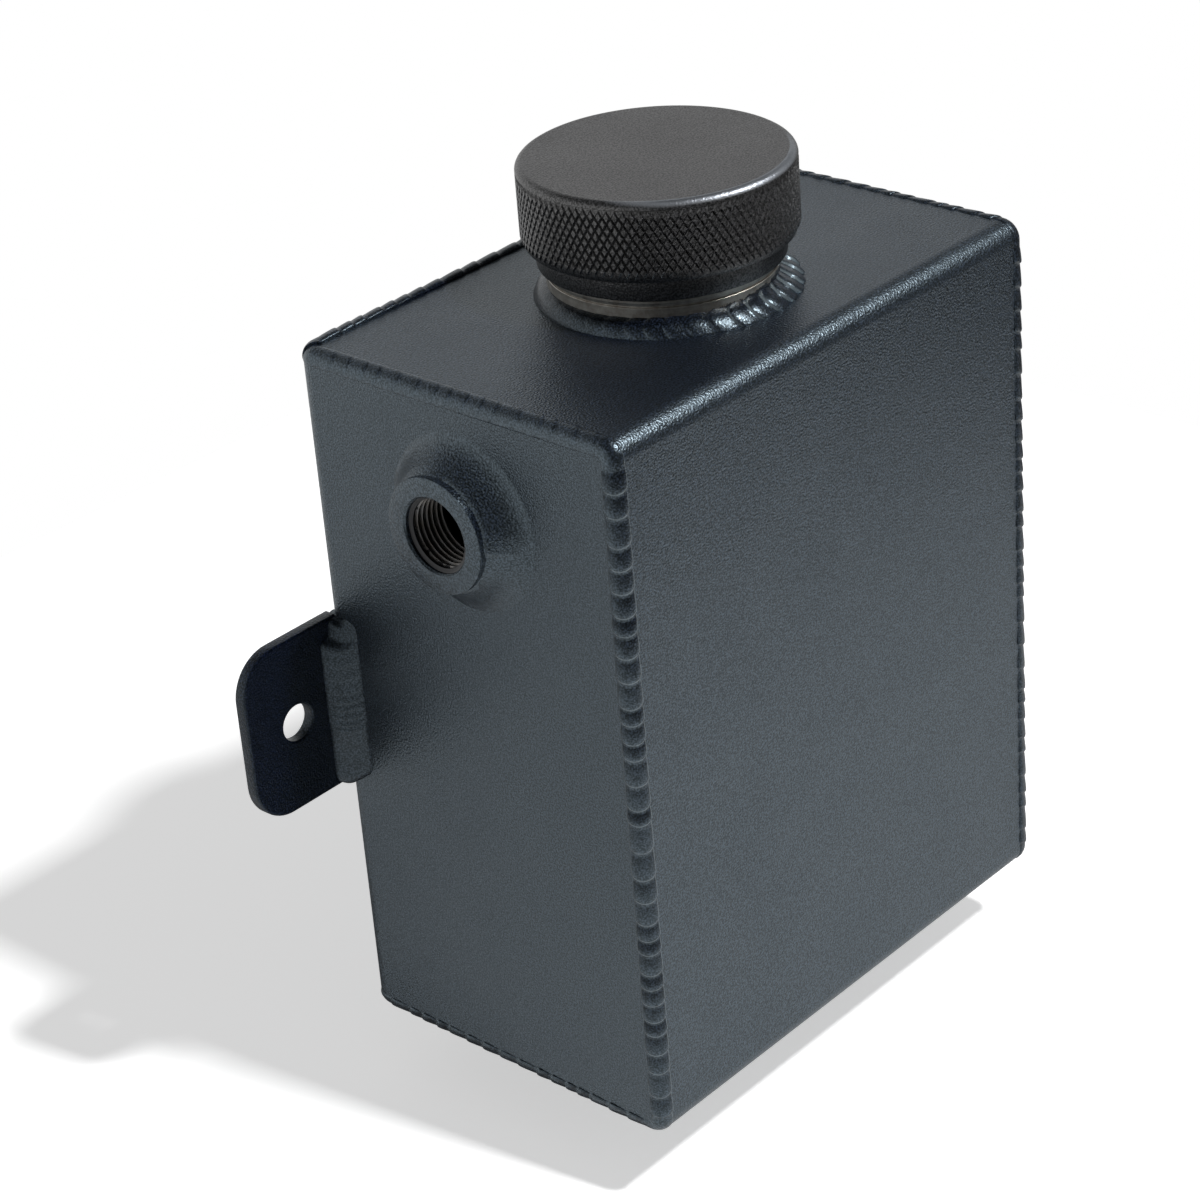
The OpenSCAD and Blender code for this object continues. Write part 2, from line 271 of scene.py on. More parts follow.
def turn_piece(section: Sequence[Pair], steps: int) -> Piece:
    """Turns a piece round the Z axis.

    Args:
        section: Line of its section, as radius and height.
        steps: Facets round the axis.

    Returns:
        The turned piece.
    """
    piece = draw_line([(r, 0.0, h) for r, h in section])
    with editing(piece):
        bpy.ops.mesh.spin(steps=steps, angle=math.tau, center=(0, 0, 0), axis=(0, 0, 1))
        face_outwards()
    return piece


def settle(piece: Piece, placement: Matrix | None = None) -> None:
    """Puts a piece in place and applies the place to its mesh.

    Args:
        piece: The mesh object, modelled round the world's origin.
        placement: Where the piece goes; None leaves it where it is.
    """
    take(piece)
    if placement is not None:
        piece.matrix_world = placement @ piece.matrix_world
    bpy.ops.object.transform_apply(location=True, rotation=True, scale=True)
    with editing(piece):
        bpy.ops.mesh.normals_make_consistent(inside=False)


def modify(piece: Piece, kind: str, **settings: object) -> None:
    """Adds a modifier to a piece and applies it.

    Args:
        piece: The mesh object.
        kind: Type name of the modifier.
        **settings: Properties of the modifier.
    """
    modifier = piece.modifiers.new(kind.title(), kind)
    for key, value in settings.items():
        setattr(modifier, key, value)
    take(piece)
    bpy.ops.object.modifier_apply(modifier=modifier.name)


def mark_painted_light(
    piece: Piece,
    ahead: Callable[[Vector], Vector],
    share: float = 1.0,
    walls: Sequence[Vector] = (),
    painted_shade_at: Callable[[Vector], float] | None = None,
) -> None:
    """Marks a weld's steps with up to 1 and the slopes behind them with down to -1; the welds' finish paints
    a highlight on the steps and shade on the slopes.

    Args:
        piece: The weld, in the frame that it was grown in.
        ahead: Takes a place and gives the way in which the ripples run there; no length leaves it unmarked.
        share: Strength of the marks.
        walls: Directions of further steps that get the painted highlight, such as the weld's edges.
        painted_shade_at: Takes a place and says how much painted shade is laid over the weld there.
    """
    light_marks = []
    for vertex in piece.data.vertices:
        along = vertex.normal.dot(ahead(vertex.co))
        step = max([along, *(vertex.normal.dot(wall) for wall in walls)])
        if step > STEP_FROM:
            mark = min(1.0, (step - STEP_FROM) / STEP_SPAN)
        else:
            mark = -min(1.0, max(0.0, (-along - LEE_FROM) / LEE_SPAN))
        light_marks.append(max(-1.0, share * mark - (painted_shade_at(vertex.co) if painted_shade_at else 0.0)))
    piece.data.attributes.new(PAINTED_LIGHT_MARKS, "FLOAT", "POINT").data.foreach_set("value", light_marks)


def hand_over(
    piece: Piece,
    name: str,
    body: Body,
    material: bpy.types.Material,
    replaced: Sequence[str] = (),
    smooth_angle: float = 35.0,
) -> None:
    """Names, smooths and dresses a finished piece, and hangs it on its body.

    Args:
        piece: The finished mesh object, with its place in its mesh.
        name: Name of the piece.
        body: Body that it rides on.
        material: Its finish.
        replaced: CAD nodes that it stands for.
        smooth_angle: Angle in degrees up to which faces are shaded as one surface.
    """
    piece.name = piece.data.name = name
    take(piece)
    bpy.ops.object.shade_smooth_by_angle(angle=math.radians(smooth_angle))
    piece.data.materials.clear()
    piece.data.materials.append(material)
    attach(piece, body.value)
    if replaced:
        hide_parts(*replaced)
    LOG.info("%s: %d faces on %s", name, len(piece.data.polygons), body.value)


def rgba(colour: Triple, factor: float = 1.0) -> tuple[float, float, float, float]:
    """Colour times a factor, with full alpha."""
    return (colour[0] * factor, colour[1] * factor, colour[2] * factor, 1.0)


class NodeSheet:
    """Sheet of shader nodes, with short ways to add and join them."""

    def __init__(self, tree: bpy.types.NodeTree) -> None:
        """Starts on a tree of nodes."""
        self.tree = tree

    def add(self, kind: str, inputs: Inputs | None = None, **settings: object) -> bpy.types.Node:
        """Adds a node.

        Args:
            kind: Type name of the node.
            inputs: Values or output sockets for its inputs.
            **settings: Properties of the node.

        Returns:
            The new node.
        """
        node = self.tree.nodes.new(kind)
        for key, value in settings.items():
            setattr(node, key, value)
        for key, value in (inputs or {}).items():
            if isinstance(value, Socket):
                self.tree.links.new(value, node.inputs[key])
            else:
                node.inputs[key].default_value = value
        return node

    def math(self, operation: str, *values: object) -> Socket:
        """Adds a calculation on values or sockets and gives its result."""
        return self.add("ShaderNodeMath", dict(enumerate(values)), operation=operation).outputs[0]

    def remap(self, value: Socket, low: float, high: float, to_low: float, to_high: float) -> Socket:
        """Maps a value from one range to another and holds it there.

        Args:
            value: Socket with the value.
            low: Value that becomes to_low.
            high: Value that becomes to_high.
            to_low: Result at low.
            to_high: Result at high.

        Returns:
            The socket with the result.
        """
        inputs = {"Value": value, "From Min": low, "From Max": high, "To Min": to_low, "To Max": to_high}
        return self.add("ShaderNodeMapRange", inputs).outputs["Result"]

    def seen(self) -> Socket:
        """Adds a socket that is 1 where the camera looks straight or through something clear."""
        path = self.add("ShaderNodeLightPath").outputs
        return self.math("MAXIMUM", path["Is Camera Ray"], path["Is Transmission Ray"])


class ShaderSheet(NodeSheet):
    """Node sheet of one material with a Principled shader."""

    def __init__(self, name: str) -> None:
        """Starts a material.

        Args:
            name: Name of the material.
        """
        self.material = bpy.data.materials.new(name)
        self.material.use_nodes = True
        super().__init__(self.material.node_tree)
        self.shader = next(n for n in self.tree.nodes if n.type == "BSDF_PRINCIPLED")
        self.place = self.add("ShaderNodeTexCoord").outputs["Object"]

    def noise(
        self, size: float, detail: float = 2.0, roughness: float = 0.5, place: Socket | None = None
    ) -> Socket:
        """Adds a noise pattern.

        Args:
            size: Size of its features.
            detail: Octaves of the pattern.
            roughness: Weight of the finer octaves.
            place: Socket with the place; None takes the piece's own.

        Returns:
            The socket with the pattern, from 0 to 1.
        """
        inputs = {"Vector": place or self.place, "Scale": 1 / size, "Detail": detail, "Roughness": roughness}
        return self.add("ShaderNodeTexNoise", inputs).outputs["Fac"]

    def blend(self, share: object, low: object, high: object, kind: str = "MIX") -> Socket:
        """Mixes two colours.

        Args:
            share: Share of the second colour.
            low: First colour.
            high: Second colour.
            kind: How the second colour is laid over the first.

        Returns:
            The socket with the mixed colour.
        """
        inputs = {0: share, 6: low, 7: high}
        return self.add("ShaderNodeMix", inputs, data_type="RGBA", blend_type=kind).outputs[2]

    def bump(self, height: Socket, depth: float, strength: float, below: Socket | None = None) -> Socket:
        """Adds a bump.

        Args:
            height: Socket with the height, from 0 to 1.
            depth: Depth that a height of 1 stands for.
            strength: Strength of the bump.
            below: Normal of a bump that lies under this one.

        Returns:
            The socket with the normal.
        """
        inputs = {"Height": height, "Distance": depth, "Strength": strength}
        if below is not None:
            inputs["Normal"] = below
        return self.add("ShaderNodeBump", inputs).outputs["Normal"]

    def connect(self, **sockets: Socket) -> None:
        """Joins sockets to the shader's inputs, with _ for a space in an input's name."""
        for name, socket in sockets.items():
            self.tree.links.new(socket, self.shader.inputs[name.replace("_", " ")])


@dataclass(frozen=True)
class Coating:
    """Satin coating over metal, with a sparkling grain, soft unevenness and a few light specks, and on marked
    pieces a painted highlight and painted shade.
    """

    colour: Triple
    tint: Triple = (0.70, 0.88, 1.0)
    gloss: float = 1.0
    ior: float = 1.7
    roughness: float = 0.39
    grain: float = 0.45 * MM
    grain_depth: float = 0.11 * MM
    dust: float = 0.36 * MM
    dust_light: float = 6.0
    dull_share: float = 0.5
    patch: float = 22 * MM
    wave: float = 30 * MM
    wave_depth: float = 0.25 * MM
    speck_share: float = 0.0
    speck_spacing: float = 9 * MM
    speck_colour: Triple = (0.12, 0.13, 0.13)
    # Painted light on marked pieces: colour and share of metal of the painted highlight, and how far the
    # reflection is dimmed as painted shade
    painted_highlight: Triple | None = None
    painted_glint_metal: float = 0.0
    painted_lee_shade: float = 0.0

    def make(self, name: str) -> bpy.types.Material:
        """Builds the material.

        Args:
            name: Name of the material.

        Returns:
            The new material.
        """
        sheet = ShaderSheet(name)
        patch = sheet.noise(self.patch, 3.0, 0.55)
        dust = sheet.noise(self.dust, 0.0)
        light = sheet.remap(dust, 0.45, 0.75, 0.0, 1.0)
        shade = sheet.blend(light, rgba(self.colour, 0.25), rgba(self.colour, self.dust_light))
        cloud = sheet.blend(patch, rgba((1, 1, 1), 0.9), rgba((1, 1, 1), 1.1))
        colour = sheet.blend(1.0, shade, cloud, "MULTIPLY")
        shine = sheet.remap(dust, 0.3, 0.7, 0.0, 1.0)
        tint = sheet.blend(shine, rgba(self.tint, self.dull_share), rgba(self.tint))
        if self.speck_share > 0:
            spread = {"Vector": sheet.place, "Scale": 1 / self.speck_spacing}
            cells = sheet.add("ShaderNodeTexVoronoi", spread)
            near = sheet.remap(cells.outputs["Distance"], 0.02, 0.035, 1.0, 0.0)
            lot = sheet.add("ShaderNodeSeparateColor", {"Color": cells.outputs["Color"]}).outputs["Red"]
            kept = sheet.remap(lot, 1 - self.speck_share, 1 - self.speck_share + 0.01, 0.0, 1.0)
            colour = sheet.blend(sheet.math("MULTIPLY", near, kept), colour, rgba(self.speck_colour))
        # Painted highlight: marks above 0 lighten the colour, and can turn it to metal
        if self.painted_highlight is not None:
            light_marks = sheet.add("ShaderNodeAttribute", attribute_name=PAINTED_LIGHT_MARKS).outputs["Fac"]
            colour = sheet.blend(sheet.remap(light_marks, 0.0, 1.0, 0.0, 1.0), colour, rgba(self.painted_highlight))
            # Painted shade: marks below 0 dim the reflection
            if self.painted_lee_shade > 0:
                lee_shade = sheet.remap(light_marks, 0.0, -1.0, 0.0, self.painted_lee_shade)
                tint = sheet.blend(lee_shade, tint, rgba((0, 0, 0)))
            if self.painted_glint_metal > 0:
                sheet.connect(Metallic=sheet.remap(light_marks, 0.0, 1.0, 0.0, self.painted_glint_metal))
        rough = sheet.remap(patch, 0.3, 0.7, self.roughness - 0.025, self.roughness + 0.025)
        wave = sheet.bump(sheet.noise(self.wave, 1.0), self.wave_depth, 0.25)
        normal = sheet.bump(sheet.noise(self.grain, 0.0), self.grain_depth, 1.0, wave)
        sheet.connect(Base_Color=colour, Specular_Tint=tint, Roughness=rough, Normal=normal)
        sheet.shader.inputs["Specular IOR Level"].default_value = self.gloss
        sheet.shader.inputs["IOR"].default_value = self.ior
        return sheet.material


@dataclass(frozen=True)
class TurnedMetal:
    """Bare turned aluminium with fine tool rings, and coating that creeps over it up to a ragged edge; the
    edge rises towards +X by `painted_shade_lean`, as painted shade.
    """

    coat: Triple
    coat_end: float
    axis: str = "Z"
    painted_shade_lean: float = 0.0
    colour: Triple = (0.50, 0.48, 0.44)
    soil: Triple = (0.16, 0.13, 0.10)
    roughness: float = 0.40
    ring: float = 0.22 * MM
    ragged: float = 0.7 * MM

    def make(self, name: str) -> bpy.types.Material:
        """Builds the material.

        Args:
            name: Name of the material.

        Returns:
            The new material.
        """
        sheet = ShaderSheet(name)
        fine = tuple(1 / self.ring if axis == self.axis else 8.0 for axis in "XYZ")
        stretch = sheet.add("ShaderNodeMapping", {"Vector": sheet.place, "Scale": fine})
        rings = sheet.noise(1.0, 2.0, 0.5, stretch.outputs["Vector"])
        stain = sheet.remap(sheet.noise(2.5 * MM, 4.0, 0.65), 0.35, 0.75, 0.0, 0.75)
        bright = sheet.blend(rings, rgba(self.colour, 0.55), rgba(self.colour, 1.25))
        place = sheet.add("ShaderNodeSeparateXYZ", {"Vector": sheet.place}).outputs
        shift = sheet.remap(sheet.noise(1.6 * MM, 5.0, 0.7), 0.3, 0.7, -self.ragged, self.ragged)
        # Painted shade: the coating's edge rises towards +X
        height = sheet.math("MULTIPLY_ADD", place["X"], -self.painted_shade_lean, place[self.axis])
        edge = sheet.math("ADD", height, shift)
        bare = sheet.remap(edge, self.coat_end - 0.1 * MM, self.coat_end + 0.1 * MM, 0.0, 1.0)
        sheet.connect(
            Base_Color=sheet.blend(bare, rgba(self.coat), sheet.blend(stain, bright, rgba(self.soil))),
            Metallic=bare,
            Roughness=sheet.remap(rings, 0.3, 0.7, self.roughness - 0.06, self.roughness + 0.08),
            Normal=sheet.bump(rings, 0.02 * MM, 0.5),
        )
        return sheet.material


@dataclass(frozen=True)
class Rubber:
    """Matt black rubber with a fine grain."""

    colour: Triple = (0.02, 0.02, 0.021)

    def make(self, name: str) -> bpy.types.Material:
        """Builds the material.

        Args:
            name: Name of the material.

        Returns:
            The new material.
        """
        sheet = ShaderSheet(name)
        grain = sheet.noise(0.3 * MM, 3.0, 0.6)
        sheet.connect(
            Base_Color=sheet.blend(grain, rgba(self.colour, 0.7), rgba(self.colour, 1.4)),
            Roughness=sheet.remap(grain, 0.3, 0.7, 0.6, 0.75),
            Normal=sheet.bump(grain, 0.02 * MM, 0.4),
        )
        return sheet.material


class Wardrobe:
    """All finishes of the tank, made once."""

    def __init__(self, top_sheet: float, inlet_face: float) -> None:
        """Builds the materials.

        Args:
            top_sheet: Height of the top sheet, from which the neck's coating is measured.
            inlet_face: X of the inlet's face, from which the coating of its thread is measured.
        """
        slate = (0.002, 0.003, 0.0056)
        lumpy = {"grain_depth": 0.06 * MM, "wave": 6 * MM, "wave_depth": 0.2 * MM}
        designs = {
            Finish.SHEET: Coating(slate, speck_share=0.05),
            # Painted shade: the tabs get a darker, bluer, less glossy copy of the slate coating, and the
            # welds of the tabs, the right side and the back a less glossy one
            Finish.TAB: Coating((0.0014, 0.0024, 0.0072), gloss=0.35, dust_light=4.0),
            Finish.TAB_WELD: Coating(slate, gloss=0.58, **lumpy),
            # Welds get a lighter painted highlight on their ripple steps and painted shade on the slopes
            # behind them
            Finish.WELD: Coating(slate, roughness=0.33, painted_highlight=(0.19, 0.23, 0.25), painted_lee_shade=0.7, **lumpy),
            # The cap's coating turns to bright metal where it is marked, as a painted highlight on the
            # crown's edge
            Finish.CAP: Coating(
                (0.0012, 0.0012, 0.0016), tint=(1, 1, 1), roughness=0.4, dust_light=8.0,
                grain_depth=0.06 * MM, dull_share=0.35, wave_depth=0.0, painted_highlight=(0.3, 0.32, 0.35), painted_glint_metal=1.0,
            ),
            # The neck's coating reaches higher on its right side, as painted shade over the bare land there
            Finish.NECK: TurnedMetal(slate, top_sheet + 4.2 * MM, painted_shade_lean=0.07),
            Finish.THREAD: TurnedMetal(slate, -1.0, ring=0.5 * MM),
            # The inlet's thread is a darker grey than the other bare metal, as painted shade inside its bore
            Finish.INLET_THREAD: TurnedMetal(slate, inlet_face + 2.6 * MM, axis="X", colour=(0.3, 0.3, 0.3)),
            Finish.RUBBER: Rubber(),
        }
        self.materials = {finish: design.make(finish.value) for finish, design in designs.items()}

    def __getitem__(self, finish: Finish) -> bpy.types.Material:
        """Material of a finish."""
        return self.materials[finish]


@dataclass(frozen=True)
class RippleShape:
    """Course of one ripple along a bead: (share of its length, size) with 0 the valley and 1 the crest.

    The lengths of a bead's ripples vary as `spacing` says, and their rise falls short by up to `unevenness`.
    """

    rings: Pairs
    rise: float
    unevenness: float = 0.25
    spacing: Pair = (0.66, 1.3)

    def lengths(self, luck: random.Random, run: float, count: int) -> list[float]:
        """Splits a run into the lengths of its ripples.

        Args:
            luck: Source of the random draws.
            run: Length or angle to be split.
            count: Number of ripples.

        Returns:
            The length of each ripple.
        """
        weights = [luck.uniform(*self.spacing) for _ in range(count)]
        return [run * weight / sum(weights) for weight in weights]

    def draw_rise(self, luck: random.Random, boldness: float) -> float:
        """Draws how far one ripple's crest stands above its valley."""
        return boldness * self.rise * luck.uniform(1 - self.unevenness, 1.0)


def ripple_rings(rings: Pairs, begin: float, length: float, rise: float) -> list[Triple]:
    """Places the rings of one ripple.

    Args:
        rings: Course of the ripple, as share of its length and size from 0 to 1.
        begin: Height at which it begins.
        length: How far it runs, negative where it runs down.
        rise: How much larger its crest is than its valley.

    Returns:
        Height, width and depth of each ring.
    """
    return [(begin + share * length, 1 + rise * size, 1 + rise * size) for share, size in rings]


@dataclass
class Weld:
    """Weld that is grown in a frame of its own and then put in its place."""

    name: str
    node: str
    seed: int
    finish: Finish = field(default=Finish.WELD, kw_only=True)

    def grow(self) -> Piece:
        """Grows the weld in its own frame."""
        raise NotImplementedError

    def where(self) -> Matrix | None:
        """Place of the weld's own frame; None where that is the world's."""
        return None

    def build(self, wardrobe: Wardrobe) -> None:
        """Grows the weld, puts it in place and dresses it.

        Args:
            wardrobe: The finishes.
        """
        weld = self.grow()
        settle(weld, self.where())
        hand_over(weld, self.name, Body.TANK, wardrobe[self.finish], [self.node], WELD_SMOOTH)


@dataclass
class SeamBead(Weld):
    """Rippled bead in the open notch between two sheets, round the folds at both of its ends.

    Its own frame has X out of sheet b, Y out of sheet a and Z along the seam. The crown stands above the
    sheets by `fill`, the toes lap over them by `lap` with their feet `tuck` deep inside, and the middle of
    each ripple runs ahead of its toes by `lead`.
    """

    start: Vector
    along: Vector
    length: float
    out_a: Vector
    out_b: Vector
    fold_start: Fold
    fold_end: Fold
    sheet: float = 3 * MM
    fold: float = 1.5 * MM
    fill: float = 0.12 * MM
    lap: float = 0.4 * MM
    tuck: float = 0.9 * MM
    toe: Pairs = ((-0.26 * MM, 0.0), (-0.09 * MM, 0.07 * MM), (0.0, 0.25 * MM))
    toe_h: float = 0.4 * MM
    lead: float = 0.9 * MM
    lead_bow: float = 0.6
    end_margin: float = 0.2 * MM
    pitch: float = 4.9 * MM
    ripple: RippleShape = RippleShape(
        (
            (0.02, 0.0), (0.18, 0.28), (0.4, 0.6), (0.65, 0.86), (0.84, 1.0), (0.91, 0.94), (0.95, 0.7),
            (0.98, 0.3),
        ),
        0.1,
    )
    boldness: float = 1.0
    # Whether the bead's edges get the painted highlight as well
    painted_edge_highlight: bool = False
    crown_steps: int = 14
    corner_steps: int = 4

    def section(self) -> list[Triple]:
        """Draws the bead's section, with its middle ahead of its toes.

        Returns:
            Points of the section, from the root round the crown.
        """
        r = self.sheet + self.fill
        reach = math.sqrt(r * r - self.lap * self.lap)
        toe = [(self.sheet - self.tuck, -self.lap), *((reach + x, -self.lap + y) for x, y in self.toe)]
        first = math.asin((self.lap - self.toe_h) / r)
        span = math.pi / 2 + 2 * first
        angles = [-first + span * k / self.crown_steps for k in range(self.crown_steps + 1)]
        crown = [(r * math.cos(a), r * math.sin(a)) for a in angles]
        points = []
        for x, y in [(0.0, 0.0), *toe, *crown, *((y, x) for x, y in reversed(toe))]:
            share = max(0.0, min(1.0, math.atan2(y, x) / (math.pi / 2)))
            points.append((x, y, self.lead * (math.sin(math.pi * share) ** self.lead_bow - 0.5)))
        return points

    def corner(self, centre_z: float, way: int, fold: Fold) -> None:
        """Takes the bead's end ring half way round a folded corner.

        Args:
            centre_z: Place of the corner's axis along the bead.
            way: 1 at the bead's end, -1 at its start.
            fold: The sheet that folds there.
        """
        step = way * math.radians(45 / self.corner_steps)
        for _ in range(self.corner_steps):
            extrude()
            if fold is Fold.A:
                turn(step, "X", (0, -self.fold, centre_z))
            else:
                turn(-step, "Y", (-self.fold, 0, centre_z))

    def grow(self) -> Piece:
        """Grows the bead from its drawn section.

        Returns:
            The bead, still in its own frame.
        """
        luck = random.Random(self.seed)
        bead = draw_loop(self.section())
        plain = self.lead + self.end_margin
        run = self.length - 2 * plain
        begin = plain
        rings = [(plain, 1.0, 1.0)]
        for length in self.ripple.lengths(luck, run, max(1, round(run / self.pitch))):
            rise = self.ripple.draw_rise(luck, self.boldness)
            rings += ripple_rings(self.ripple.rings, begin, length, rise)
            begin += length
        rings.append((self.length - plain, 1.0, 1.0))
        with editing(bead):
            bpy.ops.mesh.edge_face_add()
            bpy.ops.transform.translate(value=(0, 0, plain))
            grow_rings(rings)
            extrude((0, 0, plain))
            scale((1, 1, 0), (0, 0, self.length))
            self.corner(self.length, 1, self.fold_end)
            low = plain + self.lead
            pick(bead, Part.FACE, lambda f: len(f.verts) > 4 and f.calc_center_median().z < low)
            extrude((0, 0, -plain))
            scale((1, 1, 0), (0, 0, 0))
            self.corner(0.0, -1, self.fold_start)
            face_outwards()
        mark_painted_light(
            bead,
            lambda place: Vector((0, 0, plain < place.z < self.length - plain)),
            self.boldness,
            (Vector((-1, 0, 0)), Vector((0, -1, 0))) if self.painted_edge_highlight else (),
        )
        return bead

    def where(self) -> Matrix:
        """Place of the bead's own frame, at the start of its notch."""
        axes = Matrix((self.out_b, self.out_a, self.along)).transposed()
        return Matrix.Translation(self.start) @ axes.to_4x4()


@dataclass
class RingWeld(Weld):
    """Weld that runs round a turned piece, on the sheet that the piece stands on.

    It is grown round the Z axis, with the sheet's face at height 0. A kind of ring weld says by stations()
    how large its section is at each angle.
    """

    placement: Matrix
    root: float = 0.0
    way: int = -1
    lead: float = 1.5 * MM
    boldness: float = 0.6

    def outline(self) -> Pairs:
        """Section of the weld as radius and height, from its foot at the piece round to its toe."""
        raise NotImplementedError

    def stations(self) -> list[Triple]:
        """Course of the weld: angle, size and height factor of each ring, round to the start."""
        raise NotImplementedError

    def painted_shade_at(self, place: Vector) -> float:
        """How much painted shade is laid over the weld at a place."""
        return 0.0

    def where(self) -> Matrix:
        """Place of the weld's own frame, on the turned piece's axis."""
        return self.placement

    def grow(self) -> Piece:
        """Grows the weld ring by ring and closes it.

        Returns:
            The weld, round the Z axis.
        """
        outline = self.outline()
        last = len(outline) - 1
        leads = [self.way * self.lead * (math.sin(math.pi * k / last) - 0.5) for k in range(last + 1)]
        weld = draw_loop([(r, lead, h) for (r, h), lead in zip(outline, leads)])
        (angle, size, tall), *stations = self.stations()
        with editing(weld):
            scale((size, size, size * tall), (self.root, 0, 0))
            for there, new_size, new_tall in stations:
                extrude()
                turn(there - angle, "Z")
                ratio = new_size / size
                foot = (self.root * math.cos(there), self.root * math.sin(there), 0)
                scale((ratio, ratio, ratio * new_tall / tall), foot)
                angle, size, tall = there, new_size, new_tall
            face_outwards()
        mark_painted_light(
            weld,
            lambda place: self.way * Vector((-place.y, place.x, 0)).normalized(),
            self.boldness,
            painted_shade_at=self.painted_shade_at,
        )
        return weld


@dataclass
class NeckWeld(RingWeld):
    """Boldly rippled weld round the neck, whose ripples fade where the torch came from.

    Opposite the angle `boldest` it is smaller by the share `slim`, and gets painted shade of the depth
    `painted_shade_depth`, a dimmer reflection on the side away from the glint.
    """

    root: float = 24.8 * MM
    tuck: float = 0.5 * MM
    sunk: float = 0.4 * MM
    leg: float = 4.4 * MM
    rise: float = 3.2 * MM
    bulge: float = 0.7 * MM
    pitch: float = 4.6 * MM
    lead: float = 2.1 * MM
    boldest: float = math.radians(-42)
    least: float = 0.03
    slim: float = 0.32
    painted_shade_depth: float = 0.9
    ripple: RippleShape = RippleShape(
        (
            (0.02, 0.0), (0.15, 0.3), (0.32, 0.62), (0.5, 0.87), (0.66, 1.0), (0.78, 0.98), (0.87, 0.82),
            (0.93, 0.56), (0.975, 0.2),
        ),
        0.23,
        0.3,
        (0.85, 1.18),
    )
    crown_steps: int = 12

    def outline(self) -> Pairs:
        """Section of the weld, a fillet with a full crown.

        Returns:
            Points of the section, as radius and height.
        """
        inner, out = self.root - self.tuck, Vector((self.rise, self.leg)).normalized()
        crown = []
        for k in range(self.crown_steps + 1):
            share = k / self.crown_steps
            lift = self.bulge * math.sin(math.pi * share)
            r, h = self.root + self.leg * share, self.rise * (1 - share)
            crown.append((r + out.x * lift, h + out.y * lift))
        return ((inner, -self.sunk), (inner, self.rise), *crown, (self.root + self.leg, -self.sunk))

    def girth(self, angle: float) -> float:
        """Size of the weld between its ripples at an angle."""
        return 1 - self.slim * (1 - nearness(angle - self.boldest)) ** 2

    def painted_shade_at(self, place: Vector) -> float:
        """How much painted shade is laid over the weld away from its boldest ripples."""
        return self.painted_shade_depth * (1 - nearness(math.atan2(place.y, place.x) - self.boldest)) ** 2

    def stations(self) -> list[Triple]:
        """Course of the ripples round the neck; the slim part is as tall as the rest.

        Returns:
            Angle, size and height factor of each ring.
        """
        luck = random.Random(self.seed)
        count = round(math.tau * (self.root + self.leg / 2) / self.pitch)
        rings = [(0.0, 0.0)]
        begin = 0.0
        for span in self.ripple.lengths(luck, self.way * math.tau, count):
            bold = self.least + (1 - self.least) * nearness(begin - self.boldest) ** 2
            rise = self.ripple.draw_rise(luck, bold)
            rings += [(begin + share * span, rise * size) for share, size in self.ripple.rings]
            begin += span
        rings.append((self.way * math.tau, 0.0))
        return [(angle, self.girth(angle) + lift, 1 / self.girth(angle)) for angle, lift in rings]


@dataclass
class PortWeld(RingWeld):
    """Washed-out weld that slopes from a bung down to the sheet, with a few laps where the torch stopped.

    `spread` and `swell` say at which angle it is wider and taller, and by which share. `laps` gives each stop
    of the torch, as angle in degrees and height, and `wash` the slope, as shares of the width and height.
    """

    root: float = 12.8 * MM
    tuck: float = 0.3 * MM
    width: float = 6.4 * MM
    spread: Pair = (math.radians(-95), 0.17)
    height: float = 6.6 * MM
    swell: Pair = (math.radians(95), 0.13)
    waver: float = 0.05
    laps: Pairs = ((-92.0, 0.08), (-128.0, 0.04), (-160.0, 0.05), (64.0, 0.03))
    lap_tail: float = 0.35
    lap_front: float = 0.05
    lap_step: float = 0.8
    ring_step: int = 2
    lumps: float = 0.3 * MM
    lump_size: float = 7 * MM
    boldness: float = 0.06
    wash: Pairs = (
        (0.0, 1.0), (0.1, 0.88), (0.2, 0.75), (0.32, 0.58), (0.45, 0.41), (0.58, 0.27), (0.7, 0.165),
        (0.82, 0.08), (0.92, 0.032), (1.0, 0.008), (1.04, -0.03),
    )

    def outline(self) -> Pairs:
        """Section of the weld: a hollow slope that runs out on the sheet.

        Returns:
            Points of the section, as radius and height.
        """
        inner = self.root - self.tuck
        slope = ((self.root + self.width * share, self.height * height) for share, height in self.wash)
        return ((inner, -self.tuck), (inner, self.height), *slope)

    def stations(self) -> list[Triple]:
        """Course of the pad round the bung.

        Returns:
            Angle, size and height factor of each ring.
        """
        luck = random.Random(self.seed)
        phases = [luck.uniform(0, math.tau) for _ in range(3)]
        beside = ((at + step) % 360 for at, _ in self.laps for step in (-self.lap_step, self.lap_step))
        degrees = sorted({*range(0, 360, self.ring_step), *beside})
        rings = []
        for degree in [*degrees, 360]:
            angle = math.radians(degree)
            tall = 1 + self.swell[1] * nearness(angle - self.swell[0]) ** 2
            for at, height in self.laps:
                behind = (math.radians(at) - angle) % math.tau
                ahead = (angle - math.radians(at)) % math.tau
                tail, front = math.exp(-ahead / self.lap_tail), math.exp(-((behind / self.lap_front) ** 2))
                tall += height * max(tail, front)
            waves = sum(math.sin((k + 2) * angle + phase) for k, phase in enumerate(phases))
            size = 1 + self.waver * waves / 2
            size += self.spread[1] * nearness(angle - self.spread[0]) ** 2
            rings.append((angle, size, tall / size))
        return rings

    def grow(self) -> Piece:
        """Grows the weld and makes its surface uneven.

        Returns:
            The weld, round the Z axis.
        """
        weld = super().grow()
        cloud = bpy.data.textures.new(self.name + "_lumps", "CLOUDS")
        cloud.noise_scale = self.lump_size
        modify(weld, "DISPLACE", texture=cloud, strength=self.lumps)
        return weld


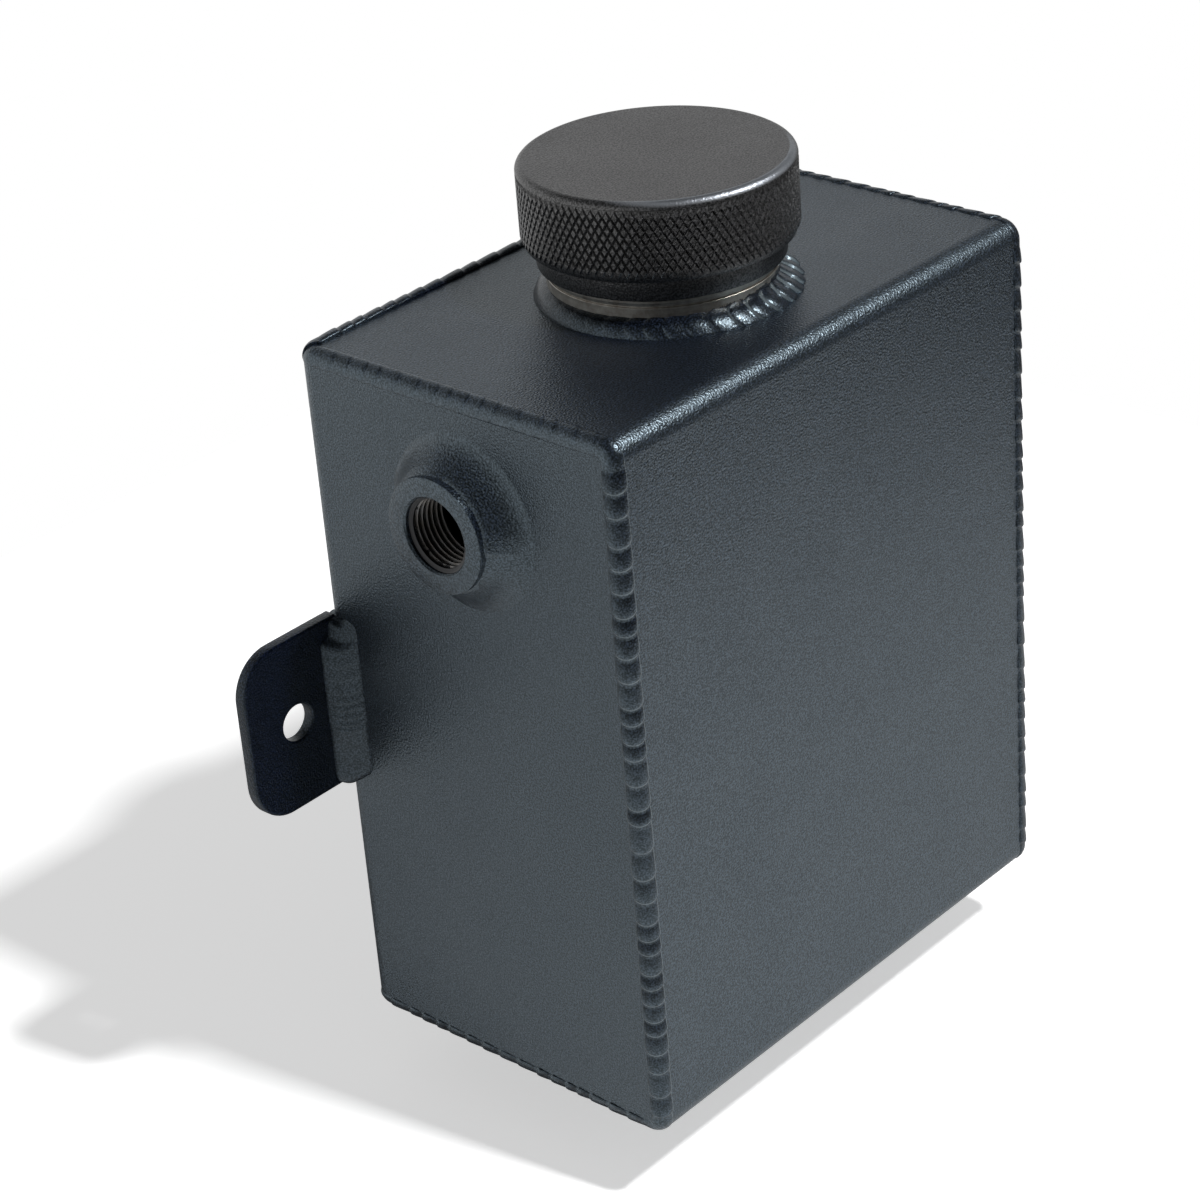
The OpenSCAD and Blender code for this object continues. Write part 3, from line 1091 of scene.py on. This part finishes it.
@dataclass
class TabWeld(Weld):
    """Fillet weld down the front of a mounting tab, faintly rippled, with rounded ends.

    It is grown downwards from the tab's upper end: X out of the tank's side, Y towards the front. `head` and
    `foot` give the rings of its ends: distance from the end in millimetres, size in X and size in Y. The
    ripples keep `gap` millimetres away from both.
    """

    start: Vector
    side: int
    length: float
    on_tab: float = 5.5 * MM
    on_side: float = 5.9 * MM
    tuck: float = 0.4 * MM
    bulge: float = 0.45 * MM
    lead: float = 0.9 * MM
    pitch: float = 3.6 * MM
    spacing: Pair = (0.7, 1.3)
    rise: float = 0.05
    rises: Pair = (0.3, 0.6)
    ripple: Pairs = ((0.05, 0.0), (0.4, 0.45), (0.68, 0.9), (0.8, 1.0), (0.9, 0.75), (0.96, 0.3))
    gap: float = 0.4
    head: tuple[Triple, ...] = (
        (0.0, 0.26, 0.42), (0.25, 0.36, 0.62), (0.7, 0.43, 0.82), (1.3, 0.47, 0.95), (2.1, 0.49, 1.0),
        (3.0, 0.5, 1.02), (3.7, 0.55, 1.02), (4.2, 0.7, 1.01), (4.6, 0.88, 1.0), (5.1, 0.98, 1.0),
        (5.8, 1.0, 1.0),
    )
    foot: tuple[Triple, ...] = (
        (3.4, 1.0, 1.0), (2.4, 1.0, 0.95), (1.5, 0.98, 0.84), (0.8, 0.94, 0.68), (0.3, 0.86, 0.5),
        (0.0, 0.74, 0.34),
    )
    crown_steps: int = 12

    def section(self) -> list[Triple]:
        """Draws the fillet's section.

        Returns:
            Points of the section, from the root round the crown.
        """
        out = Vector((self.on_side, self.on_tab)).normalized()
        points = [(-self.tuck, -self.tuck, 0.0), (self.on_tab, -self.tuck, 0.0)]
        for k in range(self.crown_steps + 1):
            share = k / self.crown_steps
            bow = math.sin(math.pi * share)
            lift = self.bulge * bow
            x, y = self.on_tab * (1 - share) + out.x * lift, self.on_side * share + out.y * lift
            points.append((x, y, -self.lead * bow))
        return [*points, (-self.tuck, self.on_side, 0.0)]

    def grow(self) -> Piece:
        """Grows the weld from its drawn section.

        Returns:
            The weld, still in its own frame.
        """
        luck = random.Random(self.seed)
        weld = draw_loop(self.section())
        rings = [(-at * MM, out, over) for at, out, over in self.head]
        begin = (self.head[-1][0] + self.gap) * MM
        end = self.length - (self.foot[0][0] + self.gap) * MM
        weights = [luck.uniform(*self.spacing) for _ in range(round((end - begin) / self.pitch))]
        # Each ripple takes its share of what is left, so that the ripples get shorter downwards
        for weight in weights:
            length = (end - begin) * weight / sum(weights)
            rings += ripple_rings(self.ripple, -begin, -length, self.rise * luck.uniform(*self.rises))
            begin += length
        rings += [(back * MM - self.length, out, over) for back, out, over in self.foot]
        with editing(weld):
            bpy.ops.mesh.edge_face_add()
            scale((rings[0][1], rings[0][2], 1.0), (0, 0, 0))
            grow_rings(rings)
            face_outwards()
        return weld

    def where(self) -> Matrix:
        """Place of the weld's own frame, at the upper end of the tab."""
        return Matrix.Translation(self.start) @ Matrix.Diagonal((self.side, -1, 1, 1))


@dataclass
class GrooveBead(Weld):
    """Rough bead in the groove between a tab's end and the rear fold, grown where its CAD solid lies."""

    pitch: float = 4.4 * MM
    rises: Pair = (0.5, 1.0)
    ripple: Pairs = ((0.3, 0.4), (0.7, 0.9), (0.86, 1.0), (1.0, 0.0))
    valley: float = 0.88
    fullness: float = 0.62
    facets: int = 20

    def grow(self) -> Piece:
        """Grows the bead down the groove.

        Returns:
            The bead.
        """
        low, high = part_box(self.node)
        luck = random.Random(self.seed)
        radius = (high.x - low.x) * self.fullness
        foot = ((low.x + high.x) / 2, high.y - radius)
        bpy.ops.object.select_all(action="DESELECT")
        bpy.ops.mesh.primitive_circle_add(
            vertices=self.facets, radius=radius, fill_type="NGON", location=(*foot, high.z)
        )
        bead = bpy.context.active_object
        settle(bead)
        count = round((high.z - low.z) / self.pitch)
        pitch = (high.z - low.z) / count
        rings = [(high.z, 1.0, 1.0)]
        for k in range(count):
            rise = luck.uniform(*self.rises)
            for share, height in self.ripple:
                size = self.valley + (1 - self.valley) * rise * height
                rings.append((high.z - (k + share) * pitch, size, size))
        with editing(bead):
            grow_rings(rings, foot)
            face_outwards()
        return bead


def thread_ridge(root: float, crest: float, low: float, turns: float, pitch: float, width: float) -> Piece:
    """Helical ridge of a screw thread round the Z axis, as one closed coil.

    Args:
        root: Radius at which the ridge's foot lies, tucked into the wall that carries it.
        crest: Radius of the crest, on either side of the root.
        low: Height at which the ridge starts.
        turns: Number of turns.
        pitch: Height of one turn.
        width: Width of the ridge's foot.

    Returns:
        The ridge.
    """
    flat = THREAD_FLAT * width
    ridge = draw_loop([
        (root, 0, low - width / 2),
        (crest, 0, low - flat),
        (crest, 0, low + flat),
        (root, 0, low + width / 2),
    ])
    steps = round(THREAD_STEPS * turns)
    modify(
        ridge, "SCREW", steps=steps, render_steps=steps, iterations=1, angle=math.tau * turns,
        screw_offset=pitch * turns, use_merge_vertices=False,
    )
    with editing(ridge):
        bpy.ops.mesh.select_mode(type="EDGE")
        bpy.ops.mesh.select_all(action="DESELECT")
        bpy.ops.mesh.select_non_manifold(extend=False)
        bpy.ops.mesh.edge_face_add()
        face_outwards()
    return ridge


@dataclass
class FillerCap:
    """Turned screw cap with a knurled band over a smooth skirt.

    The crown's edge gets a painted highlight, a band of bright metal round the angle `glint_at`, where the
    light glints. Vertices within `slack` of each other's height or place count as level or upright.
    """

    axis: Vector
    low: float
    high: float
    ceiling: float
    skirt_h: float = 5.1 * MM
    bore_r: float = 23.38 * MM
    bore_chamfer: float = 0.5 * MM
    skirt_r: float = 26.58 * MM
    skirt_edge: Pairs = ((-0.4 * MM, 0.0), (-0.1 * MM, 0.12 * MM), (0.0, 0.4 * MM))
    band_r: float = 29.58 * MM
    band_groove: float = 0.35 * MM
    crown_r: float = 1.6 * MM
    crown_angles: tuple[float, ...] = (4, 18, 34, 50, 66, 80, 90)
    crown_margin: float = 0.3 * MM
    crown_gap: float = 0.1 * MM
    glint_at: float = math.radians(-98)
    knurl_margin: float = 0.9 * MM
    knurl_depth: float = 0.34 * MM
    knurl_inset: float = 0.3 * MM
    knurl_round: int = 106
    knurl_rows: int = 5
    slack: float = 0.05 * MM

    @property
    def band_low(self) -> float:
        """Height of the band's lower edge."""
        return self.low + self.skirt_h

    @property
    def wall_r(self) -> float:
        """Radius of the wall from which the knurl rises."""
        return self.band_r - self.knurl_depth

    @property
    def knurl_low(self) -> float:
        """Height of the knurl's lower edge."""
        return self.band_low + self.knurl_margin

    @property
    def knurl_high(self) -> float:
        """Height of the knurl's upper edge."""
        return self.high - self.crown_r - self.crown_gap

    def section(self) -> list[Pair]:
        """Line of the cap's section, from the ceiling's middle round to the crown's middle.

        Returns:
            Places of the line's points, as radius and height.
        """
        row = (self.knurl_high - self.knurl_low) / self.knurl_rows
        crown_in, crown_low = self.band_r - self.crown_r, self.high - self.crown_r
        return [
            (0.0, self.ceiling),
            (self.bore_r, self.ceiling),
            (self.bore_r, self.low + self.bore_chamfer),
            (self.bore_r + self.bore_chamfer, self.low),
            *((self.skirt_r + r, self.low + h) for r, h in self.skirt_edge),
            (self.skirt_r, self.band_low),
            (self.wall_r - self.band_groove, self.band_low),
            *((self.wall_r, self.knurl_low + row * k) for k in range(self.knurl_rows + 1)),
            *(
                (crown_in + self.crown_r * math.cos(a), crown_low + self.crown_r * math.sin(a))
                for a in map(math.radians, self.crown_angles)
            ),
            (crown_in - self.crown_margin, self.high),
            (0.0, self.high),
        ]

    def cut_knurl(self, cap: Piece) -> None:
        """Raises the band's faces into diamonds.

        Args:
            cap: The turned cap round the Z axis.
        """
        slack, low, high = self.slack, self.knurl_low, self.knurl_high

        def on_wall(place: Vector) -> bool:
            """Whether a place lies on the knurl's wall."""
            return low - slack < place.z < high + slack and abs(place.xy.length - self.wall_r) < NEAR

        def on_band(item: bmesh.types.BMEdge | bmesh.types.BMFace) -> bool:
            """Whether all of an edge or a face lies on the knurl's wall."""
            return all(on_wall(vertex.co) for vertex in item.verts)

        def level(edge: bmesh.types.BMEdge) -> bool:
            """Whether an edge between the knurl's rows runs level."""
            one, other = (vertex.co.z for vertex in edge.verts)
            return abs(one - other) < slack and low + slack < one < high - slack

        def upright(edge: bmesh.types.BMEdge) -> bool:
            """Whether an edge stands upright."""
            return (edge.verts[0].co.xy - edge.verts[1].co.xy).length < slack

        with editing(cap):
            pick(cap, Part.FACE, on_band)
            bpy.ops.mesh.poke()
            for spare in (level, upright):
                pick(cap, Part.EDGE, lambda edge: on_band(edge) and spare(edge))
                bpy.ops.mesh.dissolve_edges(use_verts=False)
            pick(cap, Part.FACE, lambda face: len(face.verts) == 4 and on_band(face))
            bpy.ops.mesh.inset(thickness=self.knurl_inset, depth=self.knurl_depth, use_individual=True)

    def crown_glint(self, place: Vector) -> Vector:
        """Says how strong the painted highlight on the crown's edge is at a place.

        Args:
            place: A place on the cap, round the Z axis.

        Returns:
            Upward arrow as long as the painted highlight is strong; it has no length off the crown's edge.
        """
        flat_r = self.band_r - self.crown_r - self.crown_gap
        on_edge = place.z > self.high - self.crown_r and place.xy.length > flat_r
        near = nearness(math.atan2(place.y, place.x) - self.glint_at)
        return Vector((0, 0, on_edge * near**4))

    def build(self, wardrobe: Wardrobe) -> None:
        """Turns, knurls and dresses the cap.

        Args:
            wardrobe: The finishes.
        """
        cap = turn_piece(self.section(), self.knurl_round)
        self.cut_knurl(cap)
        # Marks the crown's edge for its painted highlight
        mark_painted_light(cap, self.crown_glint)
        settle(cap, Matrix.Translation(self.axis))
        hand_over(cap, "screw_cap", Body.CAP, wardrobe[Finish.CAP], ["filler_cap"], 30)


@dataclass
class FillerNeck:
    """Turned neck: a collar with two lands and a fine groove, and a threaded barrel above it."""

    placement: Matrix
    sheet: float = 3 * MM
    bore_r: float = 19 * MM
    pilot_r: float = 22.5 * MM
    collar_r: float = 24.8 * MM
    collar_h: float = 7 * MM
    collar_edge: float = 0.2 * MM
    groove_h: float = 5.6 * MM
    groove: Pairs = (
        (0.0, -0.35 * MM), (-0.08 * MM, -0.25 * MM), (-0.35 * MM, -0.2 * MM), (-0.35 * MM, 0.1 * MM),
        (-0.05 * MM, 0.2 * MM), (0.0, 0.3 * MM),
    )
    core_r: float = 22.5 * MM
    crest_r: float = 23.28 * MM
    height: float = 20 * MM
    rim_chamfer: float = 1 * MM
    bore_chamfer: float = 0.4 * MM
    pitch: float = 3 * MM
    thread_w: float = 2.2 * MM
    thread_tuck: float = 0.2 * MM
    thread_above: float = 1.2 * MM
    thread_below: float = 1.4 * MM
    facets: int = 144

    def build(self, wardrobe: Wardrobe) -> None:
        """Turns the neck, winds its thread and dresses both.

        Args:
            wardrobe: The finishes.
        """
        neck = turn_piece(
            [
                (self.bore_r, -self.sheet),
                (self.pilot_r, -self.sheet),
                (self.pilot_r, 0.0),
                (self.collar_r, 0.0),
                *((self.collar_r + r, self.groove_h + h) for r, h in self.groove),
                (self.collar_r, self.collar_h - self.collar_edge),
                (self.collar_r - self.collar_edge, self.collar_h),
                (self.core_r, self.collar_h),
                (self.core_r, self.height - self.rim_chamfer),
                (self.core_r - self.rim_chamfer, self.height),
                (self.bore_r + self.bore_chamfer, self.height),
                (self.bore_r, self.height - self.bore_chamfer),
                (self.bore_r, -self.sheet),
            ],
            self.facets,
        )
        settle(neck, self.placement)
        hand_over(neck, "turned_neck", Body.TANK, wardrobe[Finish.NECK], ["filler_neck"])
        low = self.collar_h + self.thread_above
        turns = (self.height - self.thread_below - low) / self.pitch
        root = self.core_r - self.thread_tuck
        ridge = thread_ridge(root, self.crest_r, low, turns, self.pitch, self.thread_w)
        settle(ridge, self.placement)
        hand_over(ridge, "neck_thread", Body.TANK, wardrobe[Finish.THREAD])


@dataclass
class ThreadedBung:
    """Turned bung with a flat face and a tapped bore whose crests are bare."""

    name: str
    node: str
    stand: float
    placement: Matrix
    thread: Finish
    sheet: float = 3 * MM
    outer_r: float = 12.8 * MM
    outer_edge: Pairs = ((0.0, -0.28 * MM), (-0.07 * MM, -0.1 * MM), (-0.25 * MM, 0.0))
    pilot_r: float = 11 * MM
    major_r: float = 8.35 * MM
    minor_r: float = 7.5 * MM
    mouth: Pairs = ((0.35 * MM, 0.0), (0.0, -0.45 * MM))
    pitch: float = 1.41 * MM
    thread_w: float = 1.15 * MM
    thread_tuck: float = 0.15 * MM
    thread_above: float = 0.6 * MM
    thread_below: float = 1.0 * MM
    facets: int = 96

    def build(self, wardrobe: Wardrobe) -> None:
        """Turns the bung, winds its inner thread and dresses both.

        Args:
            wardrobe: The finishes.
        """
        bung = turn_piece(
            [
                (self.major_r, -self.sheet),
                (self.pilot_r, -self.sheet),
                (self.pilot_r, 0.0),
                (self.outer_r, 0.0),
                *((self.outer_r + r, self.stand + h) for r, h in self.outer_edge),
                *((self.major_r + r, self.stand + h) for r, h in self.mouth),
                (self.major_r, -self.sheet),
            ],
            self.facets,
        )
        settle(bung, self.placement)
        hand_over(bung, self.name, Body.TANK, wardrobe[Finish.SHEET], [self.node])
        low = self.thread_above - self.sheet
        turns = (self.stand - self.thread_below - low) / self.pitch
        root = self.major_r + self.thread_tuck
        ridge = thread_ridge(root, self.minor_r, low, turns, self.pitch, self.thread_w)
        settle(ridge, self.placement)
        hand_over(ridge, self.name + "_thread", Body.TANK, wardrobe[self.thread])


@dataclass
class MountingTab:
    """Flat tab with two round corners, a bolt hole and softly rounded edges."""

    name: str
    node: str
    side: int
    corner_r: float = 10 * MM
    corner_steps: int = 14
    hole_r: float = 4.25 * MM
    hole_out: float = 14.3 * MM
    hole_steps: int = 64
    edge_r: float = 0.45 * MM
    edge_steps: int = 3
    sharp_from: float = 40.0
    face_margin: float = 0.12 * MM
    least_face: float = 20 * MM * MM

    def build(self, wardrobe: Wardrobe) -> None:
        """Cuts, drills, rounds and dresses the tab.

        Args:
            wardrobe: The finishes.
        """
        low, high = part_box(self.node)
        size, middle = high - low, (low + high) / 2
        inner, outer = (low.x, high.x) if self.side > 0 else (high.x, low.x)
        bpy.ops.object.select_all(action="DESELECT")
        bpy.ops.mesh.primitive_cube_add(size=1, location=middle, scale=size)
        tab = bpy.context.active_object
        settle(tab)
        with editing(tab):
            pick(
                tab,
                Part.EDGE,
                lambda e: all(abs(v.co.x - outer) < NEAR for v in e.verts)
                and abs(e.verts[0].co.y - e.verts[1].co.y) > 1 * MM,
            )
            bpy.ops.mesh.bevel(offset=self.corner_r, segments=self.corner_steps, affect="EDGES")
        bpy.ops.object.select_all(action="DESELECT")
        bpy.ops.mesh.primitive_cylinder_add(
            vertices=self.hole_steps,
            radius=self.hole_r,
            depth=3 * size.y,
            location=(inner + self.side * self.hole_out, middle.y, middle.z),
            rotation=(math.pi / 2, 0, 0),
        )
        drill = bpy.context.active_object
        modify(tab, "BOOLEAN", object=drill, solver="EXACT")
        bpy.data.objects.remove(drill)
        with editing(tab):
            face_outwards()
        modify(
            tab,
            "BEVEL",
            width=self.edge_r,
            segments=self.edge_steps,
            limit_method="ANGLE",
            angle_limit=math.radians(self.sharp_from),
        )
        settle(tab)
        with editing(tab):
            pick(tab, Part.FACE, lambda f: abs(f.normal.y) > 0.999 and f.calc_area() > self.least_face)
            bpy.ops.mesh.inset(thickness=self.face_margin)
        # The tab takes the shaded copy of the coating
        hand_over(tab, self.name, Body.TANK, wardrobe[Finish.TAB], [self.node])


@dataclass
class Tank:
    """The welded tank: its sheets, seams, ports and tabs.

    The beads of the right and the back stand proud of their notches and lap wider over the sheets.
    """

    wardrobe: Wardrobe
    low: Vector
    high: Vector
    sheet: float = 3 * MM
    fold: float = 4.5 * MM
    hidden_fill: float = 0.2 * MM
    right_proud: float = 0.45 * MM
    right_lap: float = 0.9 * MM
    rear_proud: float = 0.5 * MM
    rear_lap: float = 1.0 * MM
    tab_drop: float = 0.5 * MM

    def dress_solids(self, nodes: dict[str, Piece]) -> None:
        """Gives the CAD's own sheets and seal their finish.

        Args:
            nodes: The frame's nodes.
        """
        finishes = {"front_shell": Finish.SHEET, "rear_shell": Finish.SHEET, "cap_seal": Finish.RUBBER}
        for name, finish in finishes.items():
            nodes[name].data.materials.clear()
            nodes[name].data.materials.append(self.wardrobe[finish])
            LOG.info("%s: the CAD's solid, coated", name)

    def side_seams(self, name: str, side: int, seed: int) -> list[SeamBead]:
        """Lays out the three seams of one side.

        Args:
            name: Name of the side.
            side: -1 on the left, 1 on the right.
            seed: Seed of its first seam.

        Returns:
            The seams, still to be built.
        """
        left = side < 0
        edge, y = side * (self.high.x - self.sheet), self.high.y
        bottom, top, notch, fold = self.low.z, self.high.z, self.sheet, self.fold
        depth, height = 2 * (y - fold), top - bottom - 2 * fold
        up, front, out = Vector((0, 0, 1)), Vector((0, -1, 0)), Vector((side, 0, 0))
        proud = Vector((0.0 if left else self.right_proud, 0, 0))
        # The right side's beads take the shaded copy of the coating
        style = {} if left else {"lap": self.right_lap, "fill": self.hidden_fill, "finish": Finish.TAB_WELD}
        top_boldness, front_boldness = (0.3, 1.0) if left else (1.0, 1.2)
        return [
            SeamBead(
                f"{name}_top_bead", f"{name}_top_seam", seed, Vector((edge, y - fold, top - notch)) + proud,
                front, depth, up, out, Fold.B, Fold.A, boldness=top_boldness, **style,
            ),
            SeamBead(
                f"{name}_front_bead", f"{name}_front_seam", seed + 1,
                Vector((edge, notch - y, top - fold)) + proud, -up, height, front, out, Fold.A, Fold.A,
                boldness=front_boldness, painted_edge_highlight=left, **style,
            ),
            SeamBead(
                f"{name}_bottom_bead", f"{name}_bottom_seam", seed + 2,
                Vector((edge, fold - y, bottom + notch)), -front, depth, -up, out, Fold.A, Fold.B,
            ),
        ]

    def rear_seams(self) -> list[SeamBead]:
        """Lays out the seams along the top and the bottom of the back.

        Returns:
            The seams, still to be built.
        """
        x, y = self.high.x, self.high.y
        up, back, right = Vector((0, 0, 1)), Vector((0, 1, 0)), Vector((1, 0, 0))
        width = 2 * (x - self.fold)
        # The back's beads take the shaded copy of the coating
        return [
            SeamBead(
                f"rear_{name}_bead", f"rear_{name}_seam", seed,
                Vector((self.fold - x, y - self.sheet, z)) + self.rear_proud * out, right, width, out, back,
                Fold.B, Fold.B, lap=self.rear_lap, fill=self.hidden_fill, finish=Finish.TAB_WELD,
            )
            for name, z, out, seed in (
                ("top", self.high.z - self.sheet, up, 30), ("bottom", self.low.z + self.sheet, -up, 31),
            )
        ]

    def build_neck(self) -> None:
        """Builds the neck and its weld."""
        low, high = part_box("filler_neck")
        place = Matrix.Translation(((low.x + high.x) / 2, (low.y + high.y) / 2, self.high.z))
        FillerNeck(place).build(self.wardrobe)
        NeckWeld("neck_bead", "neck_weld", 41, place).build(self.wardrobe)

    def build_ports(self) -> None:
        """Builds the inlet, the outlet and their welds."""
        low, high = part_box("inlet_bung")
        inlet_at = (self.low.x, (low.y + high.y) / 2, (low.z + high.z) / 2)
        inlet = Matrix.Translation(inlet_at) @ Euler((0, -math.pi / 2, 0)).to_matrix().to_4x4()
        outlet = Matrix.Translation((0, 0, self.low.z)) @ Euler((math.pi, 0, 0)).to_matrix().to_4x4()
        outlet_stand = self.low.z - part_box("outlet_bung")[0].z
        for piece in (
            ThreadedBung("inlet_port", "inlet_bung", self.low.x - low.x, inlet, Finish.INLET_THREAD),
            ThreadedBung("outlet_port", "outlet_bung", outlet_stand, outlet, Finish.THREAD),
            PortWeld("inlet_bead", "inlet_weld", 51, inlet, finish=Finish.SHEET),
            PortWeld("outlet_bead", "outlet_weld", 52, outlet, finish=Finish.SHEET),
        ):
            piece.build(self.wardrobe)

    def build_tabs(self) -> None:
        """Builds both tabs with their welds."""
        for name, side, seed in (("left", -1, 61), ("right", 1, 71)):
            node = f"{name}_bracket"
            low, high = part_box(node)
            start = Vector((side * self.high.x, low.y, high.z - self.tab_drop))
            length = high.z - low.z - 2 * self.tab_drop
            # The tab's weld takes the shaded copy of the coating
            fillet = TabWeld(
                f"{name}_tab_bead", f"{node}_front_weld", seed, start, side, length, finish=Finish.TAB_WELD
            )
            groove = GrooveBead(f"{name}_groove_bead", f"{node}_rear_weld", seed + 1)
            for piece in (MountingTab(f"{name}_tab", node, side), fillet, groove):
                piece.build(self.wardrobe)

    def build(self, nodes: dict[str, Piece]) -> None:
        """Builds every piece of the tank.

        Args:
            nodes: The frame's nodes.
        """
        self.dress_solids(nodes)
        for seam in self.side_seams("left", -1, 10) + self.side_seams("right", 1, 20) + self.rear_seams():
            seam.build(self.wardrobe)
        self.build_neck()
        self.build_ports()
        self.build_tabs()


@dataclass(frozen=True)
class Lamp:
    """Soft square lamp that looks at the object; `towards` points from the object to the lamp."""

    name: str
    towards: Triple
    distance: float
    size: float
    power: float
    target_h: float = 0.1

    def hang(self) -> Piece:
        """Hangs the lamp.

        Returns:
            The lamp.
        """
        data = bpy.data.lights.new(self.name, "AREA")
        data.size = self.size
        data.energy = self.power
        lamp = bpy.data.objects.new(self.name, data)
        direction = Vector(self.towards).normalized()
        lamp.location = Vector((0, 0, self.target_h)) + direction * self.distance
        lamp.rotation_euler = direction.to_track_quat("Z", "Y").to_euler()
        bpy.context.scene.collection.objects.link(lamp)
        return lamp


@dataclass
class Studio:
    """Floor, lamps, sky and camera.

    Glossy rays see a sky of their own: dim at the front, bright at the back and dim again overhead.
    """

    camera_at: Triple = (-0.47126, -0.42118, 0.44546)
    camera_turn: Triple = (61.876, 4.0213, -48.5889)
    lens: float = 96.17
    sensor: float = 36.0
    floor_size: float = 0.66
    floor_grey: float = 0.9
    floor_glow: float = 0.54
    ambient: float = 0.15
    gloss_front: float = 0.12
    gloss_back: float = 0.91
    gloss_overhead: float = 0.13
    gloss_fade: Pair = (math.sin(math.radians(20)), math.sin(math.radians(52)))
    backwards: Triple = (-0.35, 0.94, 0)
    gloss_blend: float = 0.35
    front_lamp: Lamp = Lamp("Front lamp", (0.055, -0.66, 1), 1.2, 0.08, 14.5)
    side_lamp: Lamp = Lamp("Side lamp", (0.36, -0.56, 0.74), 1.3, 0.35, 14.0)

    def set_camera(self) -> None:
        """Places the camera at the photograph's viewpoint."""
        data = bpy.data.cameras.new("Camera")
        data.lens = self.lens
        data.sensor_width = self.sensor
        camera = bpy.data.objects.new("Camera", data)
        camera.location = self.camera_at
        camera.rotation_euler = Euler(tuple(math.radians(a) for a in self.camera_turn))
        bpy.context.scene.collection.objects.link(camera)
        bpy.context.scene.camera = camera

    def lay_floor(self) -> None:
        """Lays the pale floor, which keeps the object's shadow."""
        bpy.ops.object.select_all(action="DESELECT")
        bpy.ops.mesh.primitive_plane_add(size=self.floor_size, location=(0, 0, 0))
        floor = bpy.context.active_object
        floor.name = "floor"
        material = bpy.data.materials.new("Pale floor")
        material.use_nodes = True
        sheet = NodeSheet(material.node_tree)
        sheet.tree.nodes.clear()
        pale = sheet.add("ShaderNodeBsdfDiffuse", {"Color": rgba((1, 1, 1), self.floor_grey)})
        gleam = {"Color": rgba((1, 1, 1), self.floor_glow), "Strength": sheet.seen()}
        glow = sheet.add("ShaderNodeEmission", gleam)
        both = sheet.add("ShaderNodeAddShader", {0: pale.outputs[0], 1: glow.outputs[0]})
        sheet.add("ShaderNodeOutputMaterial", {"Surface": both.outputs[0]})
        floor.data.materials.append(material)

    def paint_sky(self) -> None:
        """Makes the surroundings: white where they are seen, dimmer overhead, and an even soft light."""
        world = bpy.data.worlds.new("Studio")
        bpy.context.scene.world = world
        world.use_nodes = True
        sheet = NodeSheet(world.node_tree)
        way = sheet.add("ShaderNodeTexCoord").outputs["Generated"]
        height = sheet.add("ShaderNodeSeparateXYZ", {0: way}).outputs["Z"]
        overhead = sheet.remap(height, *self.gloss_fade, 1.0, self.gloss_overhead)
        aim = sheet.add("ShaderNodeVectorMath", {0: way, 1: self.backwards}, operation="DOT_PRODUCT")
        depth = sheet.remap(
            aim.outputs["Value"], -self.gloss_blend, self.gloss_blend, self.gloss_front, self.gloss_back
        )
        glossy = sheet.add("ShaderNodeLightPath").outputs["Is Glossy Ray"]
        room = sheet.math("MULTIPLY", overhead, depth)
        light = sheet.add("ShaderNodeMix", {0: glossy, 2: self.ambient, 3: room}).outputs[0]
        strength = sheet.add("ShaderNodeMix", {0: sheet.seen(), 2: light, 3: 1.0}).outputs[0]
        back = sheet.tree.nodes["Background"]
        back.inputs["Color"].default_value = (1, 1, 1, 1)
        sheet.tree.links.new(strength, back.inputs["Strength"])

    def build(self) -> None:
        """Sets the stage; one lamp lights the object, and the other one only glints on it."""
        self.set_camera()
        self.lay_floor()
        self.front_lamp.hang().visible_glossy = False
        self.side_lamp.hang().visible_diffuse = False
        self.paint_sky()
        bpy.context.scene.view_settings.view_transform = "Standard"


def main() -> None:
    """Builds the tank round its frame and sets the stage."""
    logging.basicConfig(level=logging.INFO, format="%(name)s: %(message)s")
    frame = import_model()
    front_low, front_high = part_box("front_shell")
    rear_low, rear_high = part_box("rear_shell")
    low = Vector((rear_low.x, front_low.y, front_low.z))
    high = Vector((rear_high.x, rear_high.y, front_high.z))
    wardrobe = Wardrobe(high.z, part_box("inlet_bung")[0].x)
    Tank(wardrobe, low, high).build(frame["nodes"])
    cap_low, cap_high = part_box("filler_cap")
    axis = Vector(((cap_low.x + cap_high.x) / 2, (cap_low.y + cap_high.y) / 2, 0))
    FillerCap(axis, cap_low.z, cap_high.z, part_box("cap_seal")[1].z).build(wardrobe)
    Studio().build()


if __name__ == "__main__":
    main()
